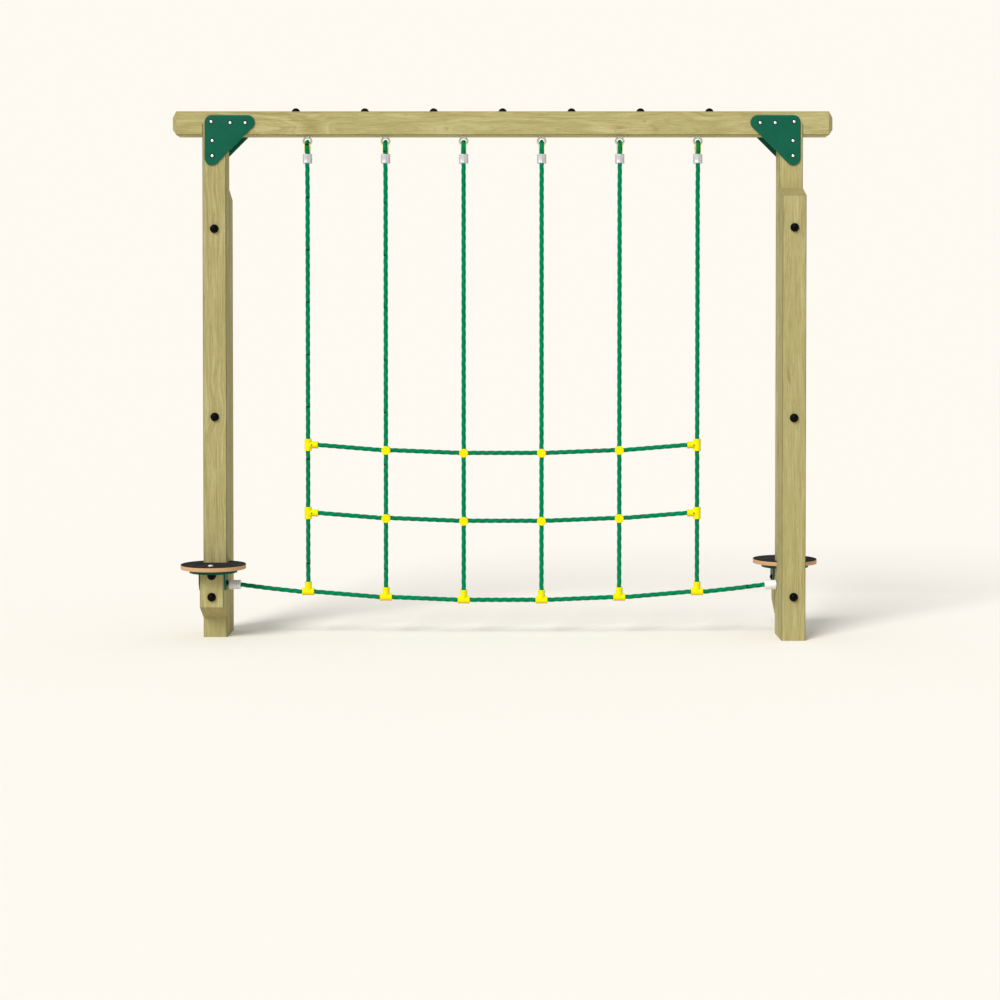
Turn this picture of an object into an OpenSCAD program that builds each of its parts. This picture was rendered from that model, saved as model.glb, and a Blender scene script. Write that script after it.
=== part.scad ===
// Cargo climbing net for a playground trail.
// A beam on two doubled posts carries six hanging ropes, two cross ropes and a
// sagging bottom rope, and each post has a round step. X runs along the beam,
// Y from front to back and Z up. The origin is on the ground under the beam's
// middle. The right post is the left one turned half round about Z.

/* [Timber] */
// Side of the square section that every post, block and beam has
timber = 90; // [80:1:110]
// Flat chamfer along the long edges of every timber
timber_edge = 3; // [1:0.5:6]
// Distance between the centres of the two main posts
post_spacing = 2190; // [1850:10:2800]
// Height of the beam's top face above the ground
frame_height = 2000; // [1500:10:2500]
// Length of beam outside each main post's centre
beam_overhang = 160; // [120:5:300]
// Length of the bevel on the beam's ends
beam_end_bevel = 18; // [5:1:25]
// How far each bevel comes in from the beam's sides
beam_end_inset = 22; // [5:1:30]
// How far the main posts are let into the beam's underside
post_lap = 44; // [20:1:44]
// Height of a support post at its higher side
support_height = 1709; // [1300:1:1850]
// Drop of a support post's sloping top
support_slope = 35; // [0:1:80]

/* [Corner plates] */
// Length of a corner plate's two square sides
plate_size = 190; // [170:1:240]
// Radius of a corner plate's corners
plate_corner = 27; // [15:1:35]
// Thickness of a corner plate
plate_thick = 5; // [3:0.5:10]
// Gap from a corner plate's outer side to the post's outer side
plate_inset = 10; // [0:1:20]
// Gap from a corner plate's top to the beam's top
plate_drop = 15; // [5:1:20]
// Diameter of the bolts through the corner plates
plate_bolt_d = 8; // [6:1:10]

/* [Bolts] */
// Diameter of the bolts through the posts
post_bolt_d = 12; // [8:1:14]
// Heights of the bolts that join a main post and its support post
post_bolt_heights = [165, 840, 1555];
// Outer diameter of the domed bolt caps
cap_d = 33; // [31:0.5:40]
// Distance between the capped screws along the beam's top
beam_screw_pitch = 263; // [200:1:290]
// How many capped screws are in the beam's top
beam_screw_count = 7; // [1:1:7]
// Diameter of the coach screws in the beam and the step blocks
coach_screw_d = 10; // [8:1:12]

/* [Steps] */
// Diameter of a step board
step_d = 245; // [225:5:320]
// Height of the top of a step block
step_block_top = 263; // [250:1:420]
// Thickness of a step board
step_board_thick = 15; // [12:1:25]
// Thickness of the anti-slip sheet on a step board
step_grip_thick = 2.5; // [1:0.5:5]
// Diameter of a step bracket's dished plate
bracket_d = 180; // [160:5:220]
// Thickness of a step bracket's plate
bracket_thick = 5; // [4:1:8]
// Height of a step bracket's plate with its turned-down rim
bracket_rim = 14; // [8:1:20]
// Height of a step block's lowest point, beside the main post
step_block_bottom = 75; // [20:1:110]
// Rise of a step block's sloping underside
step_block_slope = 52; // [0:1:60]

/* [Net] */
// Diameter of every rope
rope_d = 16; // [12:0.5:20]
// Distance between neighbouring hanging ropes
rope_pitch = 298; // [220:1:330]
// Height of the middle of the bottom rope
bottom_rope_height = 135; // [110:1:140]
// Height of the bottom rope's ends above its middle
bottom_rope_sag = 60; // [30:1:64]
// Heights of the cross ropes above the bottom rope
cross_rope_heights = [302, 563];
// Diameter of the rope ferrules
ferrule_d = 36.5; // [36:0.5:50]
// Length of a hanging rope's ferrule
ferrule_length = 36; // [20:1:60]
// Outer diameter of a rope connector's barrel
connector_d = 28.5; // [25:0.5:36]
// Length of a connector's barrel
connector_length = 46; // [36:1:70]
// Reach of a connector's branch from its barrel's axis
connector_reach = 38.5; // [30:0.5:60]
// Diameter of the round connectors where two ropes cross
cross_connector_d = 34; // [30:0.5:50]
// Thickness of a thimble's wall
thimble_wall = 2.3; // [1.5:0.1:3]
// Diameter of the bar that an eye bolt's ring is made of
eye_bar_d = 7; // [6:0.5:8]

/* [Hidden] */
$fn = 48;

// Colours
timber_colour = [0.76, 0.71, 0.48];
steel_green = [0.11, 0.41, 0.31];
steel_bright = [0.82, 0.83, 0.84];
aluminium = [0.78, 0.78, 0.79];
cap_black = [0.05, 0.05, 0.05];
rope_green = [0.0, 0.53, 0.34];
plastic_yellow = [1.0, 0.9, 0.0];
ply_tan = [0.82, 0.62, 0.42];

// Timber frame
half = timber / 2;
post_x = post_spacing / 2;
beam_length = post_spacing + 2 * beam_overhang;
beam_bottom = frame_height - timber;
post_height = beam_bottom + post_lap;
post_inner_x = post_x - half;

// Fasteners: every hole is this much wider than its bolt
hole_clearance = 0.5;
washer_thick = 2;
washer_d = 2 * post_bolt_d;
nut_thick = 0.58 * post_bolt_d;
head_thick = 0.62 * post_bolt_d;
post_hex_d = 1.83 * post_bolt_d;
thread_proud = 1;
cap_foot = 0.5;
coach_hex_d = 1.7 * coach_screw_d;
coach_head_thick = 0.65 * coach_screw_d;
coach_in_post = 50;
coach_in_beam = 70;
coach_point = 8;
block_screw_z = step_block_top - cap_d / 2 - 0.5;

// Corner plates: bolt places from the plate's outer top corner
plate_bolt_points = [
    [25, 25],
    [0.51 * plate_size, 29],
    [0.81 * plate_size, 29],
    [29, 0.51 * plate_size],
    [29, 0.81 * plate_size]
];
plate_outer_x = post_x + half - plate_inset;
plate_top = frame_height - plate_drop;
plate_hole_d = plate_bolt_d + hole_clearance;
plate_head_d = 2 * plate_bolt_d;
plate_head_thick = 0.55 * plate_bolt_d;
plate_nut_d = 1.85 * plate_bolt_d;
plate_nut_thick = plate_bolt_d;

// Steps: the step block is in front of the left post and behind the right one
step_y = -timber;
bracket_bottom = step_block_top;
board_bottom = bracket_bottom + bracket_thick;
grip_bottom = board_bottom + step_board_thick;
step_top = grip_bottom + step_grip_thick;
notch_gap = 1;
cheek_depth = 0.88 * timber;
cheek_height = 75;
cheek_taper = 26;
cheek_thick = 5;
rim_thick = 5;
bracket_bolt_d = 10;
bracket_bolt_z = step_block_top - 0.55 * timber;
bracket_head_d = 22;
bracket_head_thick = 6;
dome_bolt_y = step_y - 0.29 * step_d;
dome_bolt_d = 8;
dome_head_d = 20;
dome_head_thick = 5;
board_screw_d = 5;
board_screw_head_d = 10;
board_screw_head_thick = 3;
board_screw_x = 0.39 * bracket_d;
board_screw_y = 0.12 * bracket_d;

// Eye bolts and the rope loops that hang in them
rope_r = rope_d / 2;
rope_count = 6;
rope_xs = [for (i = [0 : rope_count - 1]) (i - (rope_count - 1) / 2) * rope_pitch];
outer_rope_x = rope_xs[rope_count - 1];
eye_inner_r = rope_r + thimble_wall + 1.7;
eye_mid_r = eye_inner_r + eye_bar_d / 2;
eye_collar_thick = 3;
eye_z = beam_bottom - 1 - eye_mid_r - eye_bar_d / 2;
eye_shank_d = 10;
counterbore_d = 30;
counterbore_depth = 20;
eye_nut_thick = 8;
counterbore_floor = frame_height - counterbore_depth;
eye_top = counterbore_floor + washer_thick + eye_nut_thick + thread_proud;
plug_thick = 5;
loop_gap = 0.3;
loop_r = rope_r + thimble_wall + 10.2;
loop_z = eye_z - eye_inner_r + loop_gap + rope_r + thimble_wall - loop_r;
leg_y = rope_r + loop_gap;
ferrule_top = loop_z - 1.27 * loop_r;
ferrule_bottom = ferrule_top - ferrule_length;
straighten_length = 7 * rope_d;
thimble_tail = 14;

// Net: the connectors sit level, and the ropes run straight between them
anchor_washer_x = post_inner_x - washer_thick;
anchor_length = 44.5;
anchor_mouth_x = anchor_washer_x - anchor_length;
anchor_grip = 34;
anchor_z = bottom_rope_height + bottom_rope_sag;
joint_gap = 0.3;
cross_spacing = rope_d + 1;
cross_half_length = rope_d / 2 + cross_spacing / 2 + 4;
cross_edge = 3;
screw_head_d = 7;
screw_head_thick = 1.5;
screw_shank_d = 3.5;
rope_sides = 12;

// Height of the sagging curve at x, above its middle
function sag(x) = bottom_rope_sag * pow(x / anchor_mouth_x, 2);
function bottom_z(x) = bottom_rope_height + sag(x);
function cross_z(row, x) = bottom_rope_height + cross_rope_heights[row] + sag(x);

// ---- Swept rope ----
function unit(v) = v / norm(v);
function heading(path, i) =
    unit(
        (i == 0 ? [0, 0, 0] : unit(path[i] - path[i - 1]))
        + (i == len(path) - 1 ? [0, 0, 0] : unit(path[i + 1] - path[i]))
    );
function ring(at, along, side, r) =
    let (u = unit(cross(along, side)), v = cross(u, along))
    [for (k = [0 : rope_sides - 1]) at + r * (cos(360 * k / rope_sides) * u + sin(360 * k / rope_sides) * v)];

// A rope of round section along path; side is a direction that the path never takes
module rope_along(path, side) {
    rings = [for (i = [0 : len(path) - 1]) each ring(path[i], heading(path, i), side, rope_r)];
    last = (len(path) - 1) * rope_sides;
    walls = [
        for (i = [0 : len(path) - 2], k = [0 : rope_sides - 1])
        let (a = i * rope_sides + k, b = i * rope_sides + (k + 1) % rope_sides)
        [a, b, b + rope_sides, a + rope_sides]
    ];
    start_face = [for (k = [rope_sides - 1 : -1 : 0]) k];
    end_face = [for (k = [0 : rope_sides - 1]) last + k];
    polyhedron(points = rings, faces = concat([start_face], walls, [end_face]), convexity = 6);
}

// ---- Helpers ----
module left_side() { children(); }
module right_side() { rotate([0, 0, 180]) children(); }
module both_sides() {
    left_side() children();
    right_side() children();
}

// Square timber with chamfered long edges, standing on z = 0
module timber_bar(length) {
    a = half;
    b = half - timber_edge;
    linear_extrude(length)
        polygon([[a, -b], [a, b], [b, a], [-b, a], [-a, b], [-a, -b], [-b, -a], [b, -a]]);
}

// Rod along +Y from y0 to y1
module rod_y(x, y0, y1, z, d) {
    translate([x, y0, z]) rotate([-90, 0, 0]) cylinder(h = y1 - y0, d = d);
}

// Rod along +X from x0 to x1
module rod_x(x0, x1, y, z, d) {
    translate([x0, y, z]) rotate([0, 90, 0]) cylinder(h = x1 - x0, d = d);
}

// Six-sided head or nut, standing on z = 0; d is the distance across its corners
module hex(d, h) { cylinder(h = h, d = d, $fn = 6); }

// Hollow domed cap, standing on z = 0
module dome_cap() {
    pocket_h = washer_thick + head_thick;
    difference() {
        union() {
            cylinder(h = cap_foot, d = cap_d);
            intersection() {
                translate([0, 0, cap_foot]) sphere(d = cap_d);
                translate([0, 0, cap_foot]) cylinder(h = cap_d, d = cap_d + 2);
            }
        }
        translate([0, 0, -1]) cylinder(h = 1 + washer_thick + 0.5, d = washer_d + 1);
        translate([0, 0, -1]) cylinder(h = 1 + pocket_h + 0.2, d = post_hex_d + 0.8);
        translate([0, 0, -1]) cylinder(h = 1 + pocket_h + 2, d = post_bolt_d + 1);
    }
}

// Low dome, such as a cup head, standing on z = 0
module low_dome(d, h) {
    ball_r = (d * d / 4 + h * h) / (2 * h);
    intersection() {
        translate([0, 0, h - ball_r]) sphere(r = ball_r);
        cylinder(h = 2 * h, d = 2 * d);
    }
}

module facing_front() { rotate([90, 0, 0]) children(); }
module facing_rear() { rotate([-90, 0, 0]) children(); }

// ---- Timber frame ----
module top_beam() {
    in_from_side = half - beam_end_inset;
    end = beam_length / 2;
    bevel_start = end - beam_end_bevel;
    outline = [
        [-end, -in_from_side], [-bevel_start, -half - 1], [bevel_start, -half - 1], [end, -in_from_side],
        [end, in_from_side], [bevel_start, half + 1], [-bevel_start, half + 1], [-end, in_from_side]
    ];
    color(timber_colour)
    difference() {
        translate([0, 0, beam_bottom + half])
        intersection() {
            translate([-end, 0, 0]) rotate([0, 90, 0]) timber_bar(beam_length);
            translate([0, 0, -timber]) linear_extrude(2 * timber) polygon(outline);
            translate([0, timber, 0]) rotate([90, 0, 0]) linear_extrude(2 * timber) polygon(outline);
        }
        for (s = [-1, 1])
            translate([s * post_x - half, -timber, beam_bottom - 1]) cube([timber, 2 * timber, post_lap + 1]);
        for (p = plate_bolt_points, s = [-1, 1])
            rod_y(s * (plate_outer_x - p[0]), -timber, timber, plate_top - p[1], plate_hole_d);
        for (i = [0 : beam_screw_count - 1])
            translate([beam_screw_x(i), 0, frame_height - coach_in_beam])
                cylinder(h = coach_in_beam + 1, d = coach_screw_d);
        for (x = rope_xs) translate([x, 0, beam_bottom - 1]) {
            cylinder(h = timber + 2, d = eye_shank_d + hole_clearance);
            translate([0, 0, timber + 1 - counterbore_depth])
                cylinder(h = counterbore_depth + 1, d = counterbore_d);
        }
    }
}

function beam_screw_x(i) = (i - (beam_screw_count - 1) / 2) * beam_screw_pitch;

module main_post() {
    difference() {
        translate([-post_x, 0, 0]) timber_bar(post_height);
        for (z = post_bolt_heights) rod_y(-post_x, -timber, timber, z, post_bolt_d + hole_clearance);
        for (p = plate_bolt_points)
            rod_y(-plate_outer_x + p[0], -timber, timber, plate_top - p[1], plate_hole_d);
        rod_x(-post_x - timber, -post_x + timber, 0, anchor_z, post_bolt_d + hole_clearance);
        rod_y(-post_x, -timber, -half + coach_in_post, block_screw_z, coach_screw_d);
    }
}

module left_post() { color(timber_colour) left_side() main_post(); }
module right_post() { color(timber_colour) right_side() main_post(); }

// Doubling post with a top that slopes away from the main post
module support_post() {
    side_outline = [
        [-half - 1, 0], [half + 1, 0],
        [half + 1, support_height - support_slope], [half, support_height - support_slope],
        [-half, support_height], [-half - 1, support_height]
    ];
    difference() {
        translate([-post_x, timber, 0]) intersection() {
            timber_bar(support_height);
            rotate([90, 0, 90]) translate([0, 0, -timber]) linear_extrude(2 * timber) polygon(side_outline);
        }
        for (z = post_bolt_heights)
            rod_y(-post_x, 0, 2 * timber, z, post_bolt_d + hole_clearance);
    }
}

module left_support_post() { color(timber_colour) left_side() support_post(); }
module right_support_post() { color(timber_colour) right_side() support_post(); }

// Short block with an underside that slopes up away from the main post
module step_block() {
    low = step_block_bottom;
    high = step_block_bottom + step_block_slope;
    side_outline = [
        [-half - 1, high], [-half, high], [half, low], [half + 1, low],
        [half + 1, step_block_top], [-half - 1, step_block_top]
    ];
    difference() {
        translate([-post_x, step_y, 0]) intersection() {
            timber_bar(step_block_top);
            rotate([90, 0, 90]) translate([0, 0, -timber]) linear_extrude(2 * timber) polygon(side_outline);
        }
        rod_y(-post_x, -2 * timber, 0, post_bolt_heights[0], post_bolt_d + hole_clearance);
        rod_y(-post_x, -2 * timber, 0, block_screw_z, coach_screw_d + hole_clearance);
        rod_x(-post_x - timber, -post_x + timber, step_y, bracket_bolt_z, bracket_bolt_d + hole_clearance);
    }
}

module left_step_block() { color(timber_colour) left_side() step_block(); }
module right_step_block() { color(timber_colour) right_side() step_block(); }

// ---- Corner plates ----
// Right-angled plate with round corners: its outer top corner is at (0, 0)
module plate_outline() {
    r = plate_corner;
    far = plate_size - r;
    slant = r * sqrt(0.5);
    for (p = [[r, -r], [far, -r], [r, -far]]) translate(p) circle(r);
    polygon([
        [r, 0], [far, 0], [far + slant, -r - slant], [r + slant, -far - slant], [0, -far], [0, -r]
    ]);
}

// Plate on the left corner with its nearer face at y
module corner_plate(y) {
    translate([-plate_outer_x, y + plate_thick, plate_top]) rotate([90, 0, 0])
    difference() {
        linear_extrude(plate_thick) plate_outline();
        for (p = plate_bolt_points)
            translate([p[0], -p[1], -1]) cylinder(h = plate_thick + 2, d = plate_hole_d);
    }
}

module left_front_plate() { color(steel_green) corner_plate(-half - plate_thick); }
module left_rear_plate() { color(steel_green) corner_plate(half); }
module right_front_plate() { color(steel_green) mirror([1, 0, 0]) corner_plate(-half - plate_thick); }
module right_rear_plate() { color(steel_green) mirror([1, 0, 0]) corner_plate(half); }

module plate_bolts() {
    face = half + plate_thick;
    color(steel_bright)
    for (p = plate_bolt_points, s = [-1, 1])
        translate([s * (plate_outer_x - p[0]), 0, plate_top - p[1]]) {
            rod_y(0, -face, face + plate_nut_thick - 1, 0, plate_bolt_d);
            translate([0, -face, 0]) facing_front() low_dome(plate_head_d, plate_head_thick);
        }
}

module plate_nuts() {
    face = half + plate_thick;
    color(steel_bright)
    for (p = plate_bolt_points, s = [-1, 1])
        translate([s * (plate_outer_x - p[0]), face, plate_top - p[1]]) facing_rear()
        difference() {
            union() {
                hex(plate_nut_d, 0.7 * plate_nut_thick);
                low_dome(0.8 * plate_nut_d, 1.25 * plate_nut_thick);
            }
            translate([0, 0, -1]) cylinder(h = plate_nut_thick, d = plate_bolt_d);
        }
}

// ---- Bolts through the posts ----
// The lowest bolt also passes through the step block
function bolt_front_y(i) = i == 0 ? -half - timber : -half;
bolt_rear_y = half + timber;

module post_bolts() {
    color(steel_bright)
    both_sides() for (i = [0 : len(post_bolt_heights) - 1])
        translate([-post_x, 0, post_bolt_heights[i]]) {
            front = bolt_front_y(i) - washer_thick;
            rod_y(0, front, bolt_rear_y + washer_thick + nut_thick + thread_proud, 0, post_bolt_d);
            translate([0, front, 0]) facing_front() hex(post_hex_d, head_thick);
        }
}

module washer() {
    difference() {
        cylinder(h = washer_thick, d = washer_d);
        translate([0, 0, -1]) cylinder(h = washer_thick + 2, d = post_bolt_d);
    }
}

module post_nut() {
    difference() {
        hex(post_hex_d, nut_thick);
        translate([0, 0, -1]) cylinder(h = nut_thick + 2, d = post_bolt_d);
    }
}

module post_washers() {
    color(steel_bright)
    both_sides() {
        for (i = [0 : len(post_bolt_heights) - 1]) translate([-post_x, 0, post_bolt_heights[i]]) {
            translate([0, bolt_front_y(i), 0]) facing_front() washer();
            translate([0, bolt_rear_y, 0]) facing_rear() washer();
        }
        translate([-post_inner_x, 0, anchor_z]) rotate([0, 90, 0]) washer();
        translate([-post_x - half, 0, anchor_z]) rotate([0, -90, 0]) washer();
    }
}

module post_nuts() {
    color(steel_bright)
    both_sides() {
        for (z = post_bolt_heights)
            translate([-post_x, bolt_rear_y + washer_thick, z]) facing_rear() post_nut();
        translate([-post_x - half - washer_thick, 0, anchor_z]) rotate([0, -90, 0]) post_nut();
    }
}

module bolt_caps() {
    color(cap_black)
    both_sides() {
        for (i = [0 : len(post_bolt_heights) - 1]) translate([-post_x, 0, post_bolt_heights[i]]) {
            translate([0, bolt_front_y(i), 0]) facing_front() dome_cap();
            translate([0, bolt_rear_y, 0]) facing_rear() dome_cap();
        }
        translate([-post_x, bolt_front_y(0), block_screw_z]) facing_front() dome_cap();
        translate([-post_x - half, 0, anchor_z]) rotate([0, -90, 0]) dome_cap();
    }
}

// Coach screw with its head on z = 0 and its shank going down
module coach_screw(length) {
    hex(coach_hex_d, coach_head_thick);
    translate([0, 0, -length + coach_point]) cylinder(h = length - coach_point, d = coach_screw_d);
    translate([0, 0, -length]) cylinder(h = coach_point, d1 = 1, d2 = coach_screw_d);
}

module step_block_screws() {
    color(steel_bright)
    both_sides() translate([-post_x, bolt_front_y(0), block_screw_z]) facing_front()
        coach_screw(timber + coach_in_post);
}

module beam_screws() {
    color(steel_bright)
    for (i = [0 : beam_screw_count - 1])
        translate([beam_screw_x(i), 0, frame_height]) coach_screw(coach_in_beam);
}

module beam_screw_caps() {
    color(cap_black)
    for (i = [0 : beam_screw_count - 1]) translate([beam_screw_x(i), 0, frame_height]) dome_cap();
}

// ---- Eye bolts ----
module eye_bolt(i) {
    color(steel_bright)
    translate([rope_xs[i], 0, 0]) {
        translate([0, 0, eye_z]) rotate([90, 0, 0])
            rotate_extrude() translate([eye_mid_r, 0]) circle(d = eye_bar_d);
        translate([0, 0, beam_bottom - eye_collar_thick])
            cylinder(h = eye_collar_thick, d = 1.8 * eye_shank_d);
        translate([0, 0, beam_bottom - eye_collar_thick])
            cylinder(h = eye_top - beam_bottom + eye_collar_thick, d = eye_shank_d);
    }
}

module eye_bolt_1() { eye_bolt(0); }
module eye_bolt_2() { eye_bolt(1); }
module eye_bolt_3() { eye_bolt(2); }
module eye_bolt_4() { eye_bolt(3); }
module eye_bolt_5() { eye_bolt(4); }
module eye_bolt_6() { eye_bolt(5); }

module eye_bolt_washers() {
    color(steel_bright)
    for (x = rope_xs) translate([x, 0, counterbore_floor])
        difference() {
            cylinder(h = washer_thick, d = counterbore_d - 4);
            translate([0, 0, -1]) cylinder(h = washer_thick + 2, d = eye_shank_d);
        }
}

module eye_bolt_nuts() {
    color(steel_bright)
    for (x = rope_xs) translate([x, 0, counterbore_floor + washer_thick])
        difference() {
            hex(1.85 * eye_shank_d, eye_nut_thick);
            translate([0, 0, -1]) cylinder(h = eye_nut_thick + 2, d = eye_shank_d);
        }
}

module eye_bolt_plugs() {
    color(cap_black)
    for (x = rope_xs)
        translate([x, 0, frame_height - plug_thick]) cylinder(h = plug_thick, d = counterbore_d);
}

// ---- Steps ----
// Room for the main post in a step's round pieces
module post_notch() {
    side = timber + 2 * notch_gap;
    translate([-post_x - side / 2, -half - notch_gap, 0]) cube([side, step_d, frame_height]);
}

module step_bracket() {
    half_depth = cheek_depth / 2;
    cheek = [
        [-half_depth, 0.5], [-half_depth, cheek_taper - cheek_height], [-0.55 * half_depth, -cheek_height],
        [0.55 * half_depth, -cheek_height], [half_depth, cheek_taper - cheek_height], [half_depth, 0.5]
    ];
    difference() {
        union() {
            difference() {
                translate([-post_x, step_y, board_bottom - bracket_rim])
                    cylinder(h = bracket_rim, d = bracket_d, $fn = 96);
                translate([-post_x, step_y, bracket_bottom - bracket_rim])
                    cylinder(h = bracket_rim, d = bracket_d - 2 * rim_thick, $fn = 96);
                post_notch();
            }
            for (x = [-half - cheek_thick, half])
                translate([-post_x + x, step_y, bracket_bottom])
                    rotate([90, 0, 90]) linear_extrude(cheek_thick) polygon(cheek);
        }
        rod_x(-post_x - timber, -post_x + timber, step_y, bracket_bolt_z, bracket_bolt_d + hole_clearance);
        translate([-post_x, dome_bolt_y, 0]) cylinder(h = step_top, d = dome_bolt_d);
        for (sx = [-1, 1], sy = [-1, 1])
            translate([-post_x + sx * board_screw_x, step_y + sy * board_screw_y, 0])
                cylinder(h = step_top, d = board_screw_d + hole_clearance);
    }
}

module left_step_bracket() { color(steel_green) left_side() step_bracket(); }
module right_step_bracket() { color(steel_green) right_side() step_bracket(); }

// Round slice of a step, notched round the main post
module step_slice(z, thick) {
    difference() {
        translate([-post_x, step_y, z]) cylinder(h = thick, d = step_d, $fn = 96);
        post_notch();
        translate([-post_x, dome_bolt_y, z - 1]) cylinder(h = thick + 2, d = dome_bolt_d + hole_clearance);
    }
}

board_screw_bite = 10;

module step_board() {
    difference() {
        step_slice(board_bottom, step_board_thick);
        for (sx = [-1, 1], sy = [-1, 1])
            translate([-post_x + sx * board_screw_x, step_y + sy * board_screw_y, board_bottom - 1])
                cylinder(h = board_screw_bite + 1, d = board_screw_d);
    }
}

module left_step_board() { color(ply_tan) left_side() step_board(); }
module right_step_board() { color(ply_tan) right_side() step_board(); }
module left_step_grip() { color(cap_black) left_side() step_slice(grip_bottom, step_grip_thick); }
module right_step_grip() { color(cap_black) right_side() step_slice(grip_bottom, step_grip_thick); }

module step_dome_bolts() {
    color(steel_bright)
    both_sides() translate([-post_x, dome_bolt_y, 0]) {
        translate([0, 0, step_top]) low_dome(dome_head_d, dome_head_thick);
        translate([0, 0, bracket_bottom]) cylinder(h = step_top - bracket_bottom, d = dome_bolt_d);
    }
}

module step_board_screws() {
    color(steel_bright)
    both_sides() for (sx = [-1, 1], sy = [-1, 1])
        translate([-post_x + sx * board_screw_x, step_y + sy * board_screw_y, bracket_bottom]) {
            translate([0, 0, -board_screw_head_thick])
                cylinder(h = board_screw_head_thick, d1 = 0.7 * board_screw_head_d, d2 = board_screw_head_d);
            cylinder(h = bracket_thick + board_screw_bite, d = board_screw_d);
        }
}

// Half the distance across a step bracket's two cheeks
cheek_face = half + cheek_thick;

module bracket_bolts() {
    color(cap_black)
    both_sides() translate([-post_x, step_y, bracket_bolt_z]) {
        rod_x(-cheek_face, cheek_face + bracket_head_thick - 1, 0, 0, bracket_bolt_d);
        translate([-cheek_face, 0, 0]) rotate([0, -90, 0]) low_dome(bracket_head_d, bracket_head_thick);
    }
}

module bracket_nuts() {
    color(cap_black)
    both_sides() translate([-post_x + cheek_face, step_y, bracket_bolt_z]) rotate([0, 90, 0])
        difference() {
            low_dome(bracket_head_d, bracket_head_thick + 2);
            translate([0, 0, -1]) cylinder(h = bracket_head_thick, d = bracket_bolt_d);
        }
}

// ---- Bottom rope anchors ----
// Pressed ferrule with a stud through the main post
module rope_anchor() {
    difference() {
        union() {
            rod_x(-anchor_washer_x, -anchor_mouth_x, 0, anchor_z, ferrule_d);
            rod_x(
                -post_x - half - washer_thick - nut_thick - thread_proud, -anchor_washer_x, 0, anchor_z,
                post_bolt_d
            );
        }
        rod_x(-anchor_mouth_x - anchor_grip, -anchor_mouth_x + 1, 0, anchor_z, rope_d);
    }
}

module left_rope_anchor() { color(aluminium) left_side() rope_anchor(); }
module right_rope_anchor() { color(aluminium) right_side() rope_anchor(); }

// Stretch of the bottom rope from an anchor to the outermost connector
module bottom_rope_end() {
    inner_x = outer_rope_x + connector_length / 2 + joint_gap;
    level_x = inner_x + rope_r;
    color(rope_green)
    rope_along([
        [-anchor_mouth_x - anchor_grip, 0, anchor_z],
        [-anchor_mouth_x, 0, anchor_z],
        [-(anchor_mouth_x + level_x) / 2, 0, (anchor_z + bottom_z(outer_rope_x)) / 2 - 1],
        [-level_x, 0, bottom_z(outer_rope_x)],
        [-inner_x, 0, bottom_z(outer_rope_x)]
    ], [0, 0, 1]);
}

module bottom_rope_left_end() { left_side() bottom_rope_end(); }
module bottom_rope_right_end() { right_side() bottom_rope_end(); }

// ---- Hanging ropes ----
// Where a leg of the loop meets the loop's round part, as an angle from +Y
leg_drop = loop_z - ferrule_top;
leg_angle = atan2(-leg_drop, leg_y) + acos(loop_r / norm([leg_y, leg_drop]));
// How far the rope has moved over to its leg, from 0 to 1
function eased(t) = t * t * (3 - 2 * t);

// From the bottom connector up through the ferrule, over the thimble and back
function hanging_path(x) = concat(
    [[x, 0, bottom_z(x) + rope_r + 1], [x, 0, ferrule_bottom - straighten_length]],
    [
        for (t = [0.2 : 0.2 : 1])
        [x, -leg_y * eased(t), ferrule_bottom - straighten_length * (1 - t)]
    ],
    [[x, -leg_y, ferrule_top]],
    [
        for (i = [0 : 16])
        let (a = 180 - leg_angle - i * (180 - 2 * leg_angle) / 16)
        [x, loop_r * cos(a), loop_z + loop_r * sin(a)]
    ],
    [[x, leg_y, ferrule_top], [x, leg_y, ferrule_bottom + 2]]
);

module hanging_rope(i) { color(rope_green) rope_along(hanging_path(rope_xs[i]), [1, 0, 0]); }

module hanging_rope_1() { hanging_rope(0); }
module hanging_rope_2() { hanging_rope(1); }
module hanging_rope_3() { hanging_rope(2); }
module hanging_rope_4() { hanging_rope(3); }
module hanging_rope_5() { hanging_rope(4); }
module hanging_rope_6() { hanging_rope(5); }

// Gutter round the inner half of the rope, centred on x = loop_r
module thimble_section() {
    difference() {
        translate([loop_r, 0]) circle(r = rope_r + thimble_wall);
        translate([loop_r, 0]) circle(r = rope_r + loop_gap / 2);
        translate([loop_r, -rope_d]) square(2 * rope_d);
    }
}

module rope_thimbles() {
    sweep_angle = 180 - 2 * leg_angle;
    color(plastic_yellow)
    for (x = rope_xs) translate([x, 0, loop_z]) rotate([90, 0, 90]) {
        rotate([0, 0, leg_angle]) rotate_extrude(angle = sweep_angle) thimble_section();
        for (m = [0, 1]) mirror([m, 0, 0]) rotate([0, 0, leg_angle]) rotate([90, 0, 0])
            linear_extrude(thimble_tail) thimble_section();
    }
}

module rope_ferrules() {
    edge = 1.5;
    color(aluminium)
    for (x = rope_xs) translate([x, 0, ferrule_bottom]) difference() {
        union() {
            cylinder(h = edge, d1 = ferrule_d - 2 * edge, d2 = ferrule_d);
            translate([0, 0, edge]) cylinder(h = ferrule_length - 2 * edge, d = ferrule_d);
            translate([0, 0, ferrule_length - edge])
                cylinder(h = edge, d1 = ferrule_d, d2 = ferrule_d - 2 * edge);
        }
        for (y = [-leg_y, leg_y]) translate([0, y, -1]) cylinder(h = ferrule_length + 2, d = rope_d);
    }
}

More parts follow.
